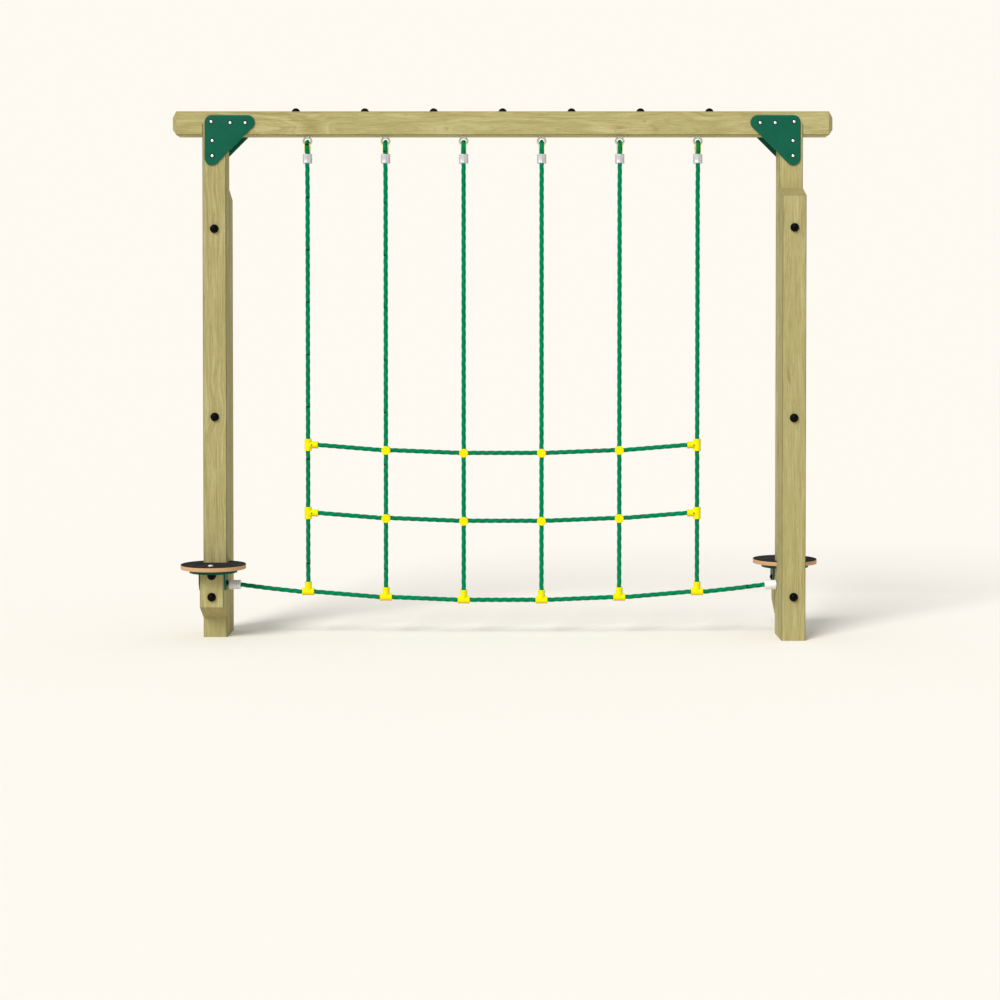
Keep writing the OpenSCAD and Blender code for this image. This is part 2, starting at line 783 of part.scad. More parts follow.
// ---- Cross ropes and bottom rope ----
// The cross ropes pass behind the four inner hanging ropes
function cross_path(row) =
    let (
        end_x = outer_rope_x - rope_r - 1,
        mouth_x = outer_rope_x - connector_reach,
        r = cross_connector_d / 2
    )
    concat(
        [[-end_x, 0, cross_z(row, outer_rope_x)], [-mouth_x, 0, cross_z(row, outer_rope_x)]],
        [
            for (i = [1 : rope_count - 2], s = [-1, 1])
            [rope_xs[i] + s * r, cross_spacing, cross_z(row, rope_xs[i])]
        ],
        [[mouth_x, 0, cross_z(row, outer_rope_x)], [end_x, 0, cross_z(row, outer_rope_x)]]
    );

module lower_cross_rope() { color(rope_green) rope_along(cross_path(0), [0, 0, 1]); }
module upper_cross_rope() { color(rope_green) rope_along(cross_path(1), [0, 0, 1]); }

module bottom_rope() {
    color(rope_green)
    rope_along([
        for (x = rope_xs, s = [-1, 1]) [x + s * connector_length / 2, 0, bottom_z(x)]
    ], [0, 0, 1]);
}

// ---- Rope connectors ----
// Barrel along Z with a branch along +X, both bored for the rope
module tee() {
    difference() {
        union() {
            translate([0, 0, -connector_length / 2]) cylinder(h = connector_length, d = connector_d);
            rotate([0, 90, 0]) cylinder(h = connector_reach, d = connector_d - 0.5);
        }
        translate([0, 0, -connector_length]) cylinder(h = 2 * connector_length, d = rope_d);
        translate([rope_r + 1, 0, 0]) rotate([0, 90, 0]) cylinder(h = connector_reach, d = rope_d);
        translate([screw_offset, 0, 0]) rotate([90, 0, 0]) cylinder(h = connector_d, d = screw_shank_d);
    }
}

// Distance of a connector's screw from its barrel's axis
screw_offset = rope_r + 6;

module place_side_connectors() {
    for (row = [0, 1], s = [0, 1]) mirror([s, 0, 0])
        translate([-outer_rope_x, 0, cross_z(row, outer_rope_x)]) children();
}

module place_bottom_connectors() {
    for (x = rope_xs) translate([x, 0, bottom_z(x)]) rotate([0, -90, 180]) children();
}

module place_cross_connectors() {
    for (row = [0, 1], i = [1 : rope_count - 2])
        translate([rope_xs[i], cross_spacing / 2, cross_z(row, rope_xs[i])]) rotate([-90, 0, 0]) children();
}

module side_connectors() { color(plastic_yellow) place_side_connectors() tee(); }
module bottom_connectors() { color(plastic_yellow) place_bottom_connectors() tee(); }

// Short drum, its axis along Z here, with one bore along X and one across it
module cross_drum() {
    straight = cross_half_length - cross_edge;
    difference() {
        union() {
            translate([0, 0, -straight]) cylinder(h = 2 * straight, d = cross_connector_d);
            for (m = [0, 1]) mirror([0, 0, m]) translate([0, 0, straight])
                cylinder(h = cross_edge, d1 = cross_connector_d, d2 = cross_connector_d - 2 * cross_edge);
        }
        translate([0, cross_connector_d, -cross_spacing / 2]) rotate([90, 0, 0])
            cylinder(h = 2 * cross_connector_d, d = rope_d);
        translate([-cross_connector_d, 0, cross_spacing / 2]) rotate([0, 90, 0])
            cylinder(h = 2 * cross_connector_d, d = rope_d);
        translate([0, 0, cross_spacing / 2]) cylinder(h = cross_half_length, d = screw_shank_d);
    }
}

module cross_connectors() { color(plastic_yellow) place_cross_connectors() cross_drum(); }

// Screw with its head on z = 0 and a shank of that length going down
module lock_screw(length) {
    low_dome(screw_head_d, screw_head_thick);
    translate([0, 0, -length]) cylinder(h = length, d = screw_shank_d);
}

module tee_screw() {
    surface = connector_d / 2 - 0.25;
    translate([screw_offset, -surface, 0]) facing_front() lock_screw(surface - rope_r);
}

module connector_screws() {
    color(steel_bright) {
        place_side_connectors() tee_screw();
        place_bottom_connectors() tee_screw();
        place_cross_connectors() translate([0, 0, cross_half_length])
            lock_screw(cross_half_length - cross_spacing / 2 - rope_r);
    }
}

top_beam();
left_post();
right_post();
left_support_post();
right_support_post();
left_step_block();
right_step_block();
left_front_plate();
left_rear_plate();
right_front_plate();
right_rear_plate();
plate_bolts();
plate_nuts();
post_bolts();
post_washers();
post_nuts();
bolt_caps();
step_block_screws();
beam_screws();
beam_screw_caps();
eye_bolt_1();
eye_bolt_2();
eye_bolt_3();
eye_bolt_4();
eye_bolt_5();
eye_bolt_6();
eye_bolt_washers();
eye_bolt_nuts();
eye_bolt_plugs();
left_step_bracket();
right_step_bracket();
left_step_board();
right_step_board();
left_step_grip();
right_step_grip();
step_dome_bolts();
step_board_screws();
bracket_bolts();
bracket_nuts();
left_rope_anchor();
right_rope_anchor();
bottom_rope_left_end();
bottom_rope_right_end();
hanging_rope_1();
hanging_rope_2();
hanging_rope_3();
hanging_rope_4();
hanging_rope_5();
hanging_rope_6();
rope_thimbles();
rope_ferrules();
upper_cross_rope();
lower_cross_rope();
bottom_rope();
side_connectors();
bottom_connectors();
cross_connectors();
connector_screws();
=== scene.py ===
"""Looks of the playground climbing net: camera, light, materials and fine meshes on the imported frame."""

import math

import bmesh
import bpy
import numpy as np
from mathutils import Matrix, Vector


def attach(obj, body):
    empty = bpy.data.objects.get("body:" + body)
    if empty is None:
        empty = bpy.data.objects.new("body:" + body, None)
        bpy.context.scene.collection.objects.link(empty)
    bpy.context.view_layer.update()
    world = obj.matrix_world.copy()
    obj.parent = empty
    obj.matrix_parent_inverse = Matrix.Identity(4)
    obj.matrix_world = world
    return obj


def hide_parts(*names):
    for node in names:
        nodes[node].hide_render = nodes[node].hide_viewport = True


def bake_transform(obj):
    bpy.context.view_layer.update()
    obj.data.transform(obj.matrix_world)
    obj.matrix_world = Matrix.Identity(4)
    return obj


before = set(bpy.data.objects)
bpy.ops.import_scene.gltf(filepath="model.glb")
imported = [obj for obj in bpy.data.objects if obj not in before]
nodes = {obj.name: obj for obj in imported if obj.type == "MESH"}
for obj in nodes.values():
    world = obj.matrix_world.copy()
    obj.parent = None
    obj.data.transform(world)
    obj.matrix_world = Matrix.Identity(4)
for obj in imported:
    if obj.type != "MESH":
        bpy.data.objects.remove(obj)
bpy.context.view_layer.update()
scene = bpy.context.scene

MM = 0.001

# ---- Sizes that the design gives, in metres ----
TIMBER = 90 * MM
POST_X = 1095 * MM
FRAME_HEIGHT = 2000 * MM
BEAM_BOTTOM = FRAME_HEIGHT - TIMBER
ROPE_D = 16 * MM
ROPE_R = ROPE_D / 2
ROPE_PITCH = 298 * MM
ROPE_COUNT = 6
ROPE_XS = [(i - (ROPE_COUNT - 1) / 2) * ROPE_PITCH for i in range(ROPE_COUNT)]
OUTER_X = ROPE_XS[-1]
BOTTOM_HEIGHT = 135 * MM
SAG = 60 * MM
CROSS_HEIGHTS = [302 * MM, 563 * MM]
FERRULE_D = 36.5 * MM
FERRULE_LENGTH = 36 * MM
CONNECTOR_D = 28.5 * MM
CONNECTOR_LENGTH = 46 * MM
CONNECTOR_REACH = 38.5 * MM
CROSS_D = 34 * MM
CROSS_SPACING = ROPE_D + 1 * MM
THIMBLE_WALL = 2.3 * MM
EYE_BAR_D = 7 * MM
LOOP_GAP = 0.3 * MM
EYE_INNER_R = ROPE_R + THIMBLE_WALL + 1.7 * MM
EYE_MID_R = EYE_INNER_R + EYE_BAR_D / 2
EYE_Z = BEAM_BOTTOM - 1 * MM - EYE_MID_R - EYE_BAR_D / 2
LOOP_R = ROPE_R + THIMBLE_WALL + 10.2 * MM
LOOP_Z = EYE_Z - EYE_INNER_R + LOOP_GAP + ROPE_R + THIMBLE_WALL - LOOP_R
LEG_Y = ROPE_R + LOOP_GAP
FERRULE_TOP = LOOP_Z - 1.27 * LOOP_R
FERRULE_BOTTOM = FERRULE_TOP - FERRULE_LENGTH
STRAIGHTEN = 7 * ROPE_D
ANCHOR_MOUTH = 1003.5 * MM
ANCHOR_GRIP = 34 * MM
ANCHOR_Z = BOTTOM_HEIGHT + SAG
MOUTH_GAP = 0.3 * MM
CONNECTOR_SCREW = ROPE_R + 6 * MM
PLATE_SIZE = 190 * MM
PLATE_CORNER = 27 * MM
PLATE_THICK = 5 * MM
PLATE_OUTER_X = POST_X + TIMBER / 2 - 10 * MM
PLATE_TOP = FRAME_HEIGHT - 15 * MM
PLATE_BOLTS = [
    (25 * MM, 25 * MM), (0.51 * PLATE_SIZE, 29 * MM), (0.81 * PLATE_SIZE, 29 * MM),
    (29 * MM, 0.51 * PLATE_SIZE), (29 * MM, 0.81 * PLATE_SIZE),
]
POST_BOLT_HEIGHTS = [165 * MM, 840 * MM, 1555 * MM]
BLOCK_SCREW_Z = 246 * MM
CAP_R = 16.5 * MM
CAP_HEIGHT = CAP_R + 0.5 * MM
BEAM_SCREW_XS = [263 * MM * (i - 3) for i in range(7)]
WASHER = 2 * MM
EYE_SHANK_TOP = FRAME_HEIGHT - 9 * MM
THIMBLE_TAIL = 14 * MM
STEP_R = 122.5 * MM
STEP_BOARD_BOTTOM = 268 * MM
STEP_BOARD_THICK = 15 * MM
STEP_BOARD_TOP = STEP_BOARD_BOTTOM + STEP_BOARD_THICK
STEP_TOP = STEP_BOARD_TOP + 2.5 * MM
PLIES = 7
NOTCH_GAP = 1 * MM
DOME_BOLT_Y = -0.29 * 2 * STEP_R


def sag(x):
    return SAG * (x / ANCHOR_MOUTH) ** 2


def bottom_z(x):
    return BOTTOM_HEIGHT + sag(x)


def cross_z(row, x):
    return BOTTOM_HEIGHT + CROSS_HEIGHTS[row] + sag(x)


# ---- Camera ----
CAMERA_PLACE = (-0.010, -7.191, 1.140)
CAMERA_DIP = math.radians(1.077)
CAMERA_LENS = 67.66
CAMERA_SENSOR = 36
CAMERA_SHIFT = -0.1266
CAMERA_REACH = 300

camera_data = bpy.data.cameras.new("camera")
camera_data.lens = CAMERA_LENS
camera_data.sensor_width = CAMERA_SENSOR
camera_data.shift_y = CAMERA_SHIFT
camera_data.clip_end = CAMERA_REACH
camera = bpy.data.objects.new("camera", camera_data)
camera.location = CAMERA_PLACE
camera.rotation_euler = (math.pi / 2 - CAMERA_DIP, 0, 0)
scene.collection.objects.link(camera)
scene.camera = camera


# ---- Material building ----
def linear(*rgb):
    """A colour given as three 0 to 255 screen values, as linear RGBA."""
    return tuple(((c / 255 + 0.055) / 1.055) ** 2.4 if c > 10 else c / 255 / 12.92 for c in rgb) + (1.0,)


# Light that a front face receives, so that a colour below is the one it shows there
FRONT_LIGHT = 1.275


def lit(*rgb):
    """The surface colour that shows as these screen values on a front face."""
    return tuple(c / FRONT_LIGHT for c in linear(*rgb)[:3]) + (1.0,)


class Paint:
    """One procedural material, with short calls for its nodes."""

    def __init__(self, name):
        self.material = bpy.data.materials.new(name)
        self.material.use_nodes = True
        self.tree = self.material.node_tree
        self.tree.nodes.clear()
        output = self.tree.nodes.new("ShaderNodeOutputMaterial")
        self.shader = self.tree.nodes.new("ShaderNodeBsdfPrincipled")
        self.tree.links.new(self.shader.outputs[0], output.inputs[0])
        self.material.diffuse_color = (0.8, 0.8, 0.8, 1)

    def node(self, kind, inputs=(), **settings):
        made = self.tree.nodes.new("ShaderNode" + kind)
        for key, value in settings.items():
            setattr(made, key, value)
        self.fill(made, inputs)
        return made

    def fill(self, made, inputs):
        for key, value in dict(inputs).items():
            if isinstance(value, bpy.types.NodeSocket):
                self.tree.links.new(value, made.inputs[key])
            else:
                made.inputs[key].default_value = value

    def math(self, operation, a, b=0.0, c=0.0, clamp=False):
        return self.node("Math", {0: a, 1: b, 2: c}, operation=operation, use_clamp=clamp).outputs[0]

    def times(self, a, b):
        return self.math("MULTIPLY", a, b)

    def between(self, value, low, high, to_low=0.0, to_high=1.0):
        """value eased from low..high to to_low..to_high."""
        made = self.node(
            "MapRange", {0: value, 1: low, 2: high, 3: to_low, 4: to_high}, interpolation_type="SMOOTHSTEP"
        )
        return made.outputs[0]

    def noise(self, vector, scale, detail=3.0, roughness=0.5):
        return self.node(
            "TexNoise", {"Vector": vector, "Scale": scale, "Detail": detail, "Roughness": roughness}
        ).outputs[0]

    def mix(self, factor, a, b, blend="MIX"):
        made = self.node("Mix", {0: factor, 6: a, 7: b}, data_type="RGBA", blend_type=blend)
        return made.outputs[2]

    def ramp(self, factor, stops):
        made = self.node("ValToRGB", {0: factor})
        elements = made.color_ramp.elements
        while len(elements) < len(stops):
            elements.new(0.5)
        for element, (position, colour) in zip(elements, stops):
            element.position = position
            element.color = colour
        return made.outputs[0]

    def position(self):
        """Object coordinates: the shared frame's, at rest."""
        return self.node("TexCoord").outputs["Object"]

    def split(self, vector):
        return self.node("SeparateXYZ", {0: vector}).outputs

    def vector(self, x, y, z):
        return self.node("CombineXYZ", {0: x, 1: y, 2: z}).outputs[0]

    def stretched(self, vector, x, y, z):
        return self.node("VectorMath", {0: vector, 1: (x, y, z)}, operation="MULTIPLY").outputs[0]

    def bump(self, height, distance, strength=1.0, normal=None):
        inputs = {"Strength": strength, "Distance": distance, "Height": height}
        if normal is not None:
            inputs["Normal"] = normal
        return self.node("Bump", inputs).outputs[0]

    def finish(self, **inputs):
        """Fills the shader's sockets; underscores stand for spaces."""
        self.fill(self.shader, {key.replace("_", " "): value for key, value in inputs.items()})
        return self.material


TIMBER_TONE_SPREAD = 0.05
KNOTS_PER_METRE = 2.6
KNOT_CORE, KNOT_EDGE = 8 * MM, 18 * MM
SWIRL_REACH, SWIRL_DEPTH = 130 * MM, 22 * MM
RING_WANDER = 75 * MM
CHECK_WIDTH = 0.010
RING_TONES = [
    (0.28, lit(160, 146, 90)), (0.42, lit(182, 170, 112)),
    (0.56, lit(194, 183, 126)), (0.72, lit(210, 201, 149)),
]
LATE_WOOD = lit(156, 141, 84)
TREATED_PATCH = lit(178, 173, 112)
DARK_FIBRE = lit(158, 142, 86)
PALE_FIBRE = lit(216, 208, 160)
PORE = lit(146, 130, 78)
KNOT = lit(134, 104, 62)
DRYING_CHECK = lit(104, 88, 52)
# Painted shade for the timbers' chamfers and the grooves between them
CHAMFER_SHADE = lit(112, 100, 60)
END_GRAIN = lit(158, 144, 90)


def planed_timber(name, grain, centre, seed):
    """Planed, pressure-treated softwood.

    grain is the index of the axis that it runs along, and centre its middle line across that axis.
    """
    p = Paint(name)
    place = p.split(p.position())
    sides = [i for i in range(3) if i != grain]
    pith = (0.060 + 0.012 * math.sin(seed), -0.034 + 0.014 * math.cos(2 * seed))
    a = p.math("SUBTRACT", place[sides[0]], centre[0] + pith[0])
    b = p.math("SUBTRACT", place[sides[1]], centre[1] + pith[1])
    along = p.math("ADD", place[grain], 7.3 * seed)

    def squeezed(lengthwise, across=1.0):
        return p.vector(p.times(along, lengthwise), p.times(a, across), p.times(b, across))

    # Knots: the few cells of a coarse pattern that come near a face; the grain swirls round them
    cells = p.node(
        "TexVoronoi", {"Vector": p.vector(along, a, b), "Scale": KNOTS_PER_METRE, "Randomness": 1.0},
        feature="F1",
    )
    knot_distance = p.math("DIVIDE", cells.outputs["Distance"], KNOTS_PER_METRE)
    knot = p.between(knot_distance, KNOT_CORE, KNOT_EDGE, 1.0, 0.0)
    swirl = p.between(knot_distance, 0.0, SWIRL_REACH, SWIRL_DEPTH, 0.0)
    # Growth rings of uneven width round a pith outside the section, wandering along the grain
    warp = p.times(p.math("SUBTRACT", p.noise(squeezed(0.16), 8.0, 3.0, 0.6), 0.5), RING_WANDER)
    radius = p.math("SQRT", p.math("ADD", p.math("POWER", a, 2.0), p.math("POWER", b, 2.0)))
    ring_at = p.math("ADD", p.math("ADD", radius, warp), swirl)
    ring = p.noise(p.vector(ring_at, p.times(along, 0.02), 0.0), 150.0, 2.0, 0.6)
    late = p.noise(p.vector(ring_at, p.times(along, 0.05), 1.7), 420.0, 2.0, 0.5)
    fibre = p.noise(squeezed(1.6, 34), 9.0, 4.0, 0.6)
    pores = p.noise(squeezed(6.0, 110), 9.0, 2.0)
    blotch = p.noise(squeezed(0.5), 6.0, 2.0)
    wood = p.ramp(ring, RING_TONES)
    wood = p.mix(p.between(late, 0.54, 0.72, 0.0, 0.60), wood, LATE_WOOD)
    wood = p.mix(p.between(blotch, 0.35, 0.7, 0.0, 0.45), wood, TREATED_PATCH)
    wood = p.mix(p.between(fibre, 0.50, 0.74, 0.0, 0.60), wood, DARK_FIBRE)
    wood = p.mix(p.between(fibre, 0.24, 0.46, 0.60, 0.0), wood, PALE_FIBRE)
    wood = p.mix(p.between(pores, 0.58, 0.70, 0.0, 0.35), wood, PORE)
    wood = p.mix(p.times(knot, 0.8), wood, KNOT)
    # Drying checks: short dark hairlines along the grain
    check_field = p.noise(squeezed(0.16, 12), 3.0, 0.0)
    line = p.between(p.math("ABSOLUTE", p.math("SUBTRACT", check_field, 0.5)), 0.0, CHECK_WIDTH, 1.0, 0.0)
    check = p.times(line, p.between(p.noise(squeezed(1.2), 4.0, 1.0), 0.58, 0.66))
    wood = p.mix(p.times(check, 0.7), wood, DRYING_CHECK)
    # Each timber has a tone of its own, and painted shade darkens its chamfers, which face away from both
    # flat sides
    tone = 1.02 + TIMBER_TONE_SPREAD * math.sin(2.4 * seed)
    wood = p.mix(1.0, wood, (tone, tone, tone, 1), "MULTIPLY")
    normal = p.split(p.node("NewGeometry").outputs["Normal"])
    tilt = p.math("MINIMUM", p.math("ABSOLUTE", normal[sides[0]]), p.math("ABSOLUTE", normal[sides[1]]))
    wood = p.mix(p.between(tilt, 0.2, 0.6, 0.0, 0.6), wood, CHAMFER_SHADE)
    # End grain is darker, and drinks in more of the treatment
    end = p.between(p.math("ABSOLUTE", normal[grain]), 0.6, 0.95)
    wood = p.mix(p.times(end, 0.5), wood, END_GRAIN)
    sunk = p.math("MULTIPLY_ADD", check, -3.0, p.times(ring, 0.6))
    height = p.math("MULTIPLY_ADD", fibre, 0.6, sunk)
    return p.finish(
        Base_Color=wood, Roughness=p.between(fibre, 0.2, 0.8, 0.66, 0.84), Normal=p.bump(height, 0.0006, 0.7),
        Specular_IOR_Level=0.2,
    )


def painted_steel():
    """Powder-coated green steel: fine orange peel, faint fading, a painted highlight along the edges, a few
    chips.
    """
    p = Paint("green_coat")
    place = p.position()
    peel = p.noise(place, 700.0, 2.0)
    fade = p.noise(place, 11.0, 3.0)
    coat = p.ramp(fade, [(0.3, lit(8, 95, 71)), (0.7, lit(14, 104, 80))])
    eased_edge = p.node("Bevel", {"Radius": 0.0022}, samples=6).outputs[0]
    flat = p.node("NewGeometry").outputs["Normal"]
    turned = p.node("VectorMath", {0: eased_edge, 1: flat}, operation="DOT_PRODUCT").outputs["Value"]
    rim = p.between(turned, 0.82, 0.99, 1.0, 0.0)
    # Painted highlight: a paler rim where the eased edge turns away from the flat face; the chips below are
    # real wear on that rim
    coat = p.mix(p.times(rim, 0.6), coat, lit(36, 128, 98))
    chips = p.between(p.noise(place, 130.0, 4.0, 0.7), 0.67, 0.70)
    coat = p.mix(p.times(p.times(chips, rim), 0.7), coat, lit(120, 130, 124))
    scratch = p.between(p.noise(p.stretched(place, 1.0, 1.0, 0.12), 420.0, 2.0), 0.66, 0.72)
    coat = p.mix(p.times(scratch, 0.16), coat, lit(60, 132, 108))
    return p.finish(
        Base_Color=coat, Roughness=p.between(fade, 0.3, 0.7, 0.44, 0.54),
        Normal=p.bump(peel, 0.0002, 0.35, eased_edge), Specular_IOR_Level=0.12,
    )


def bare_metal(name, light, dark, roughness, metallic=1.0):
    """Plain metal with soft mottling and fine handling marks."""
    p = Paint(name)
    place = p.position()
    mottle = p.noise(place, 160.0, 4.0, 0.6)
    marks = p.noise(p.stretched(place, 1.0, 1.0, 0.08), 1500.0, 2.0)
    return p.finish(
        Base_Color=p.ramp(mottle, [(0.3, dark), (0.7, light)]), Metallic=metallic,
        Roughness=p.between(marks, 0.3, 0.7, roughness - 0.06, roughness + 0.08),
        Normal=p.bump(p.math("MULTIPLY_ADD", marks, 0.5, mottle), 0.00015, 0.35),
    )


def moulded_plastic(name, main, shade, roughness, gloss, glow=None, underside_shade=None):
    """Moulded plastic: spark-eroded texture, faint cloudiness, scuffs.

    glow is how far each colour scatters in it; the last argument is a deeper orange, painted shade on the
    faces that look down.
    """
    p = Paint(name)
    place = p.position()
    cloud = p.noise(place, 28.0, 3.0)
    spark = p.noise(place, 1400.0, 2.0)
    scuff = p.between(p.noise(p.stretched(place, 1, 1, 3), 90.0, 5.0, 0.7), 0.60, 0.72)
    colour = p.ramp(cloud, [(0.3, shade), (0.7, main)])
    if underside_shade:
        # Painted shade: faces that look down are mixed towards a deeper orange
        upward = p.split(p.node("NewGeometry").outputs["Normal"])[2]
        colour = p.mix(p.between(upward, -0.85, -0.35, 0.8, 0.0), colour, underside_shade)
    inside = dict(Subsurface_Weight=0.35, Subsurface_Radius=glow, Subsurface_Scale=0.004) if glow else {}
    return p.finish(
        Base_Color=p.mix(p.times(scuff, 0.06), colour, lit(150, 146, 138)),
        Roughness=p.between(scuff, 0.0, 1.0, roughness, roughness + 0.15),
        Normal=p.bump(spark, 0.00012, 0.35), Specular_IOR_Level=gloss, **inside,
    )


def plywood():
    """Birch plywood: seven plies show round the edge, and the faces are dark film."""
    p = Paint("plywood")
    place = p.position()
    above = p.math("SUBTRACT", p.split(place)[2], STEP_BOARD_BOTTOM)
    layer = p.math("DIVIDE", above, STEP_BOARD_THICK / PLIES)
    odd = p.math("MODULO", p.math("FLOOR", layer), 2.0)
    within = p.math("FRACT", layer)
    glue = p.between(p.math("ABSOLUTE", p.math("SUBTRACT", within, 0.5)), 0.42, 0.49)
    grain = p.noise(p.stretched(place, 60, 60, 700), 5.0, 4.0, 0.6)
    tone = p.ramp(grain, [(0.3, lit(222, 174, 126)), (0.7, lit(240, 200, 154))])
    tone = p.mix(p.times(odd, 0.45), tone, lit(192, 138, 92))
    tone = p.mix(p.times(glue, 0.6), tone, lit(120, 80, 52))
    up = p.math("ABSOLUTE", p.split(p.node("NewGeometry").outputs["Normal"])[2])
    film = p.between(up, 0.75, 0.95)
    weave = p.noise(place, 600.0, 2.0)
    tone = p.mix(film, tone, p.ramp(weave, [(0.3, lit(30, 24, 20)), (0.7, lit(44, 36, 30))]))
    return p.finish(
        Base_Color=tone, Roughness=p.between(film, 0.0, 1.0, 0.75, 0.45), Specular_IOR_Level=0.2,
        Normal=p.bump(p.math("MULTIPLY_ADD", glue, -1.0, grain), 0.0003, 0.6),
    )


def grip_sheet():
    """Black anti-slip sheet, worn greyer where feet land."""
    p = Paint("grip_sheet")
    place = p.position()
    grit = p.noise(place, 900.0, 3.0, 0.6)
    wear = p.noise(p.stretched(place, 1, 1.6, 1), 16.0, 4.0, 0.6)
    tone = p.ramp(wear, [(0.35, lit(24, 24, 25)), (0.7, lit(52, 52, 52))])
    tone = p.mix(p.between(grit, 0.55, 0.75, 0.0, 0.5), tone, lit(86, 84, 80))
    return p.finish(Base_Color=tone, Roughness=0.8, Specular_IOR_Level=0.15, Normal=p.bump(grit, 0.0004, 0.7))


ROPE_LAY = 100 * MM
YARNS = 27


def rope_paint():
    """Three-strand polypropylene rope; the mesh's rope map holds turns across and metres along."""
    p = Paint("rope_green")
    turn, along, _ = p.split(p.node("UVMap", uv_map="rope").outputs[0])
    place = p.position()
    # Yarns lie along the rope's axis, so they cross the twisted strands
    yarn_turn = p.math("MULTIPLY_ADD", along, 1 / ROPE_LAY, turn)
    wave = p.math("SINE", p.times(yarn_turn, 2 * math.pi * YARNS))
    yarn = p.math("MULTIPLY_ADD", wave, 0.5, 0.5)
    strand = p.math("ABSOLUTE", p.math("SINE", p.times(turn, 3 * math.pi)))
    # Painted shade: the grooves between the strands are mixed towards a darker green
    groove = p.between(strand, 0.0, 0.45, 1.0, 0.0)
    tone = p.noise(p.stretched(place, 6, 6, 2.5), 9.0, 4.0)
    green = p.ramp(tone, [(0.3, lit(0, 134, 84)), (0.7, lit(0, 152, 98))])
    green = p.mix(p.times(yarn, 0.25), green, lit(6, 162, 106))
    green = p.mix(p.times(groove, 0.6), green, lit(0, 92, 54))
    # A dark marker yarn comes to the surface every second turn
    step = p.math("FRACT", p.math("DIVIDE", along, 2 * ROPE_LAY))
    mark = p.between(p.math("ABSOLUTE", p.math("SUBTRACT", step, 0.5)), 0.012, 0.018, 1.0, 0.0)
    near = p.between(p.math("ABSOLUTE", p.math("SUBTRACT", p.math("FRACT", turn), 0.5)), 0.12, 0.17, 1.0, 0.0)
    green = p.mix(p.times(p.times(mark, near), 0.9), green, lit(10, 30, 22))
    fuzz = p.noise(place, 1500.0, 3.0, 0.7)
    return p.finish(
        Base_Color=green, Roughness=p.between(fuzz, 0.3, 0.7, 0.65, 0.85), Specular_IOR_Level=0.05,
        Normal=p.bump(p.math("MULTIPLY_ADD", fuzz, 0.5, yarn), 0.0005, 0.8),
    )


ROPE = rope_paint()
GREEN_STEEL = painted_steel()
BRIGHT_STEEL = bare_metal("bright_steel", linear(250, 250, 250), linear(236, 237, 238), 0.32, metallic=0.6)
DARK_STEEL = bare_metal("dark_steel", linear(120, 118, 110), linear(86, 84, 78), 0.40)
ALUMINIUM = bare_metal("pressed_aluminium", linear(212, 212, 214), linear(190, 190, 193), 0.42, metallic=0.4)
# Painted light: lighter than the ferrules' metal, to make up for the shade that the steps cast on the anchors
LIT_ANCHOR_METAL = bare_metal(
    "anchor_aluminium_lit", linear(250, 250, 251), linear(238, 238, 240), 0.42, metallic=0.1
)
BLACK_PLASTIC = moulded_plastic("black_plastic", lit(7, 7, 7), lit(2, 2, 2), 0.45, 0.06)
# The yellow plastic gets a deeper orange as painted shade on its downward faces
YELLOW_PLASTIC = moulded_plastic(
    "yellow_plastic", lit(255, 252, 0), lit(255, 246, 0), 0.42, 0.08,
    glow=(1.0, 0.55, 0.05), underside_shade=lit(255, 184, 0),
)
PLYWOOD = plywood()
GRIP_SHEET = grip_sheet()


# ---- Mesh building ----
HALF_TURN = Matrix.Rotation(math.pi, 4, "Z")
BOTH_SIDES = (Matrix.Identity(4), HALF_TURN)
# How near its axis a turned profile ends
AXIS = 0.05 * MM


def at(x, y, z, facing=(0, 0, 1)):
    """Places local Z along facing, at a point."""
    return Matrix.Translation((x, y, z)) @ Vector(facing).to_track_quat("Z", "Y").to_matrix().to_4x4()


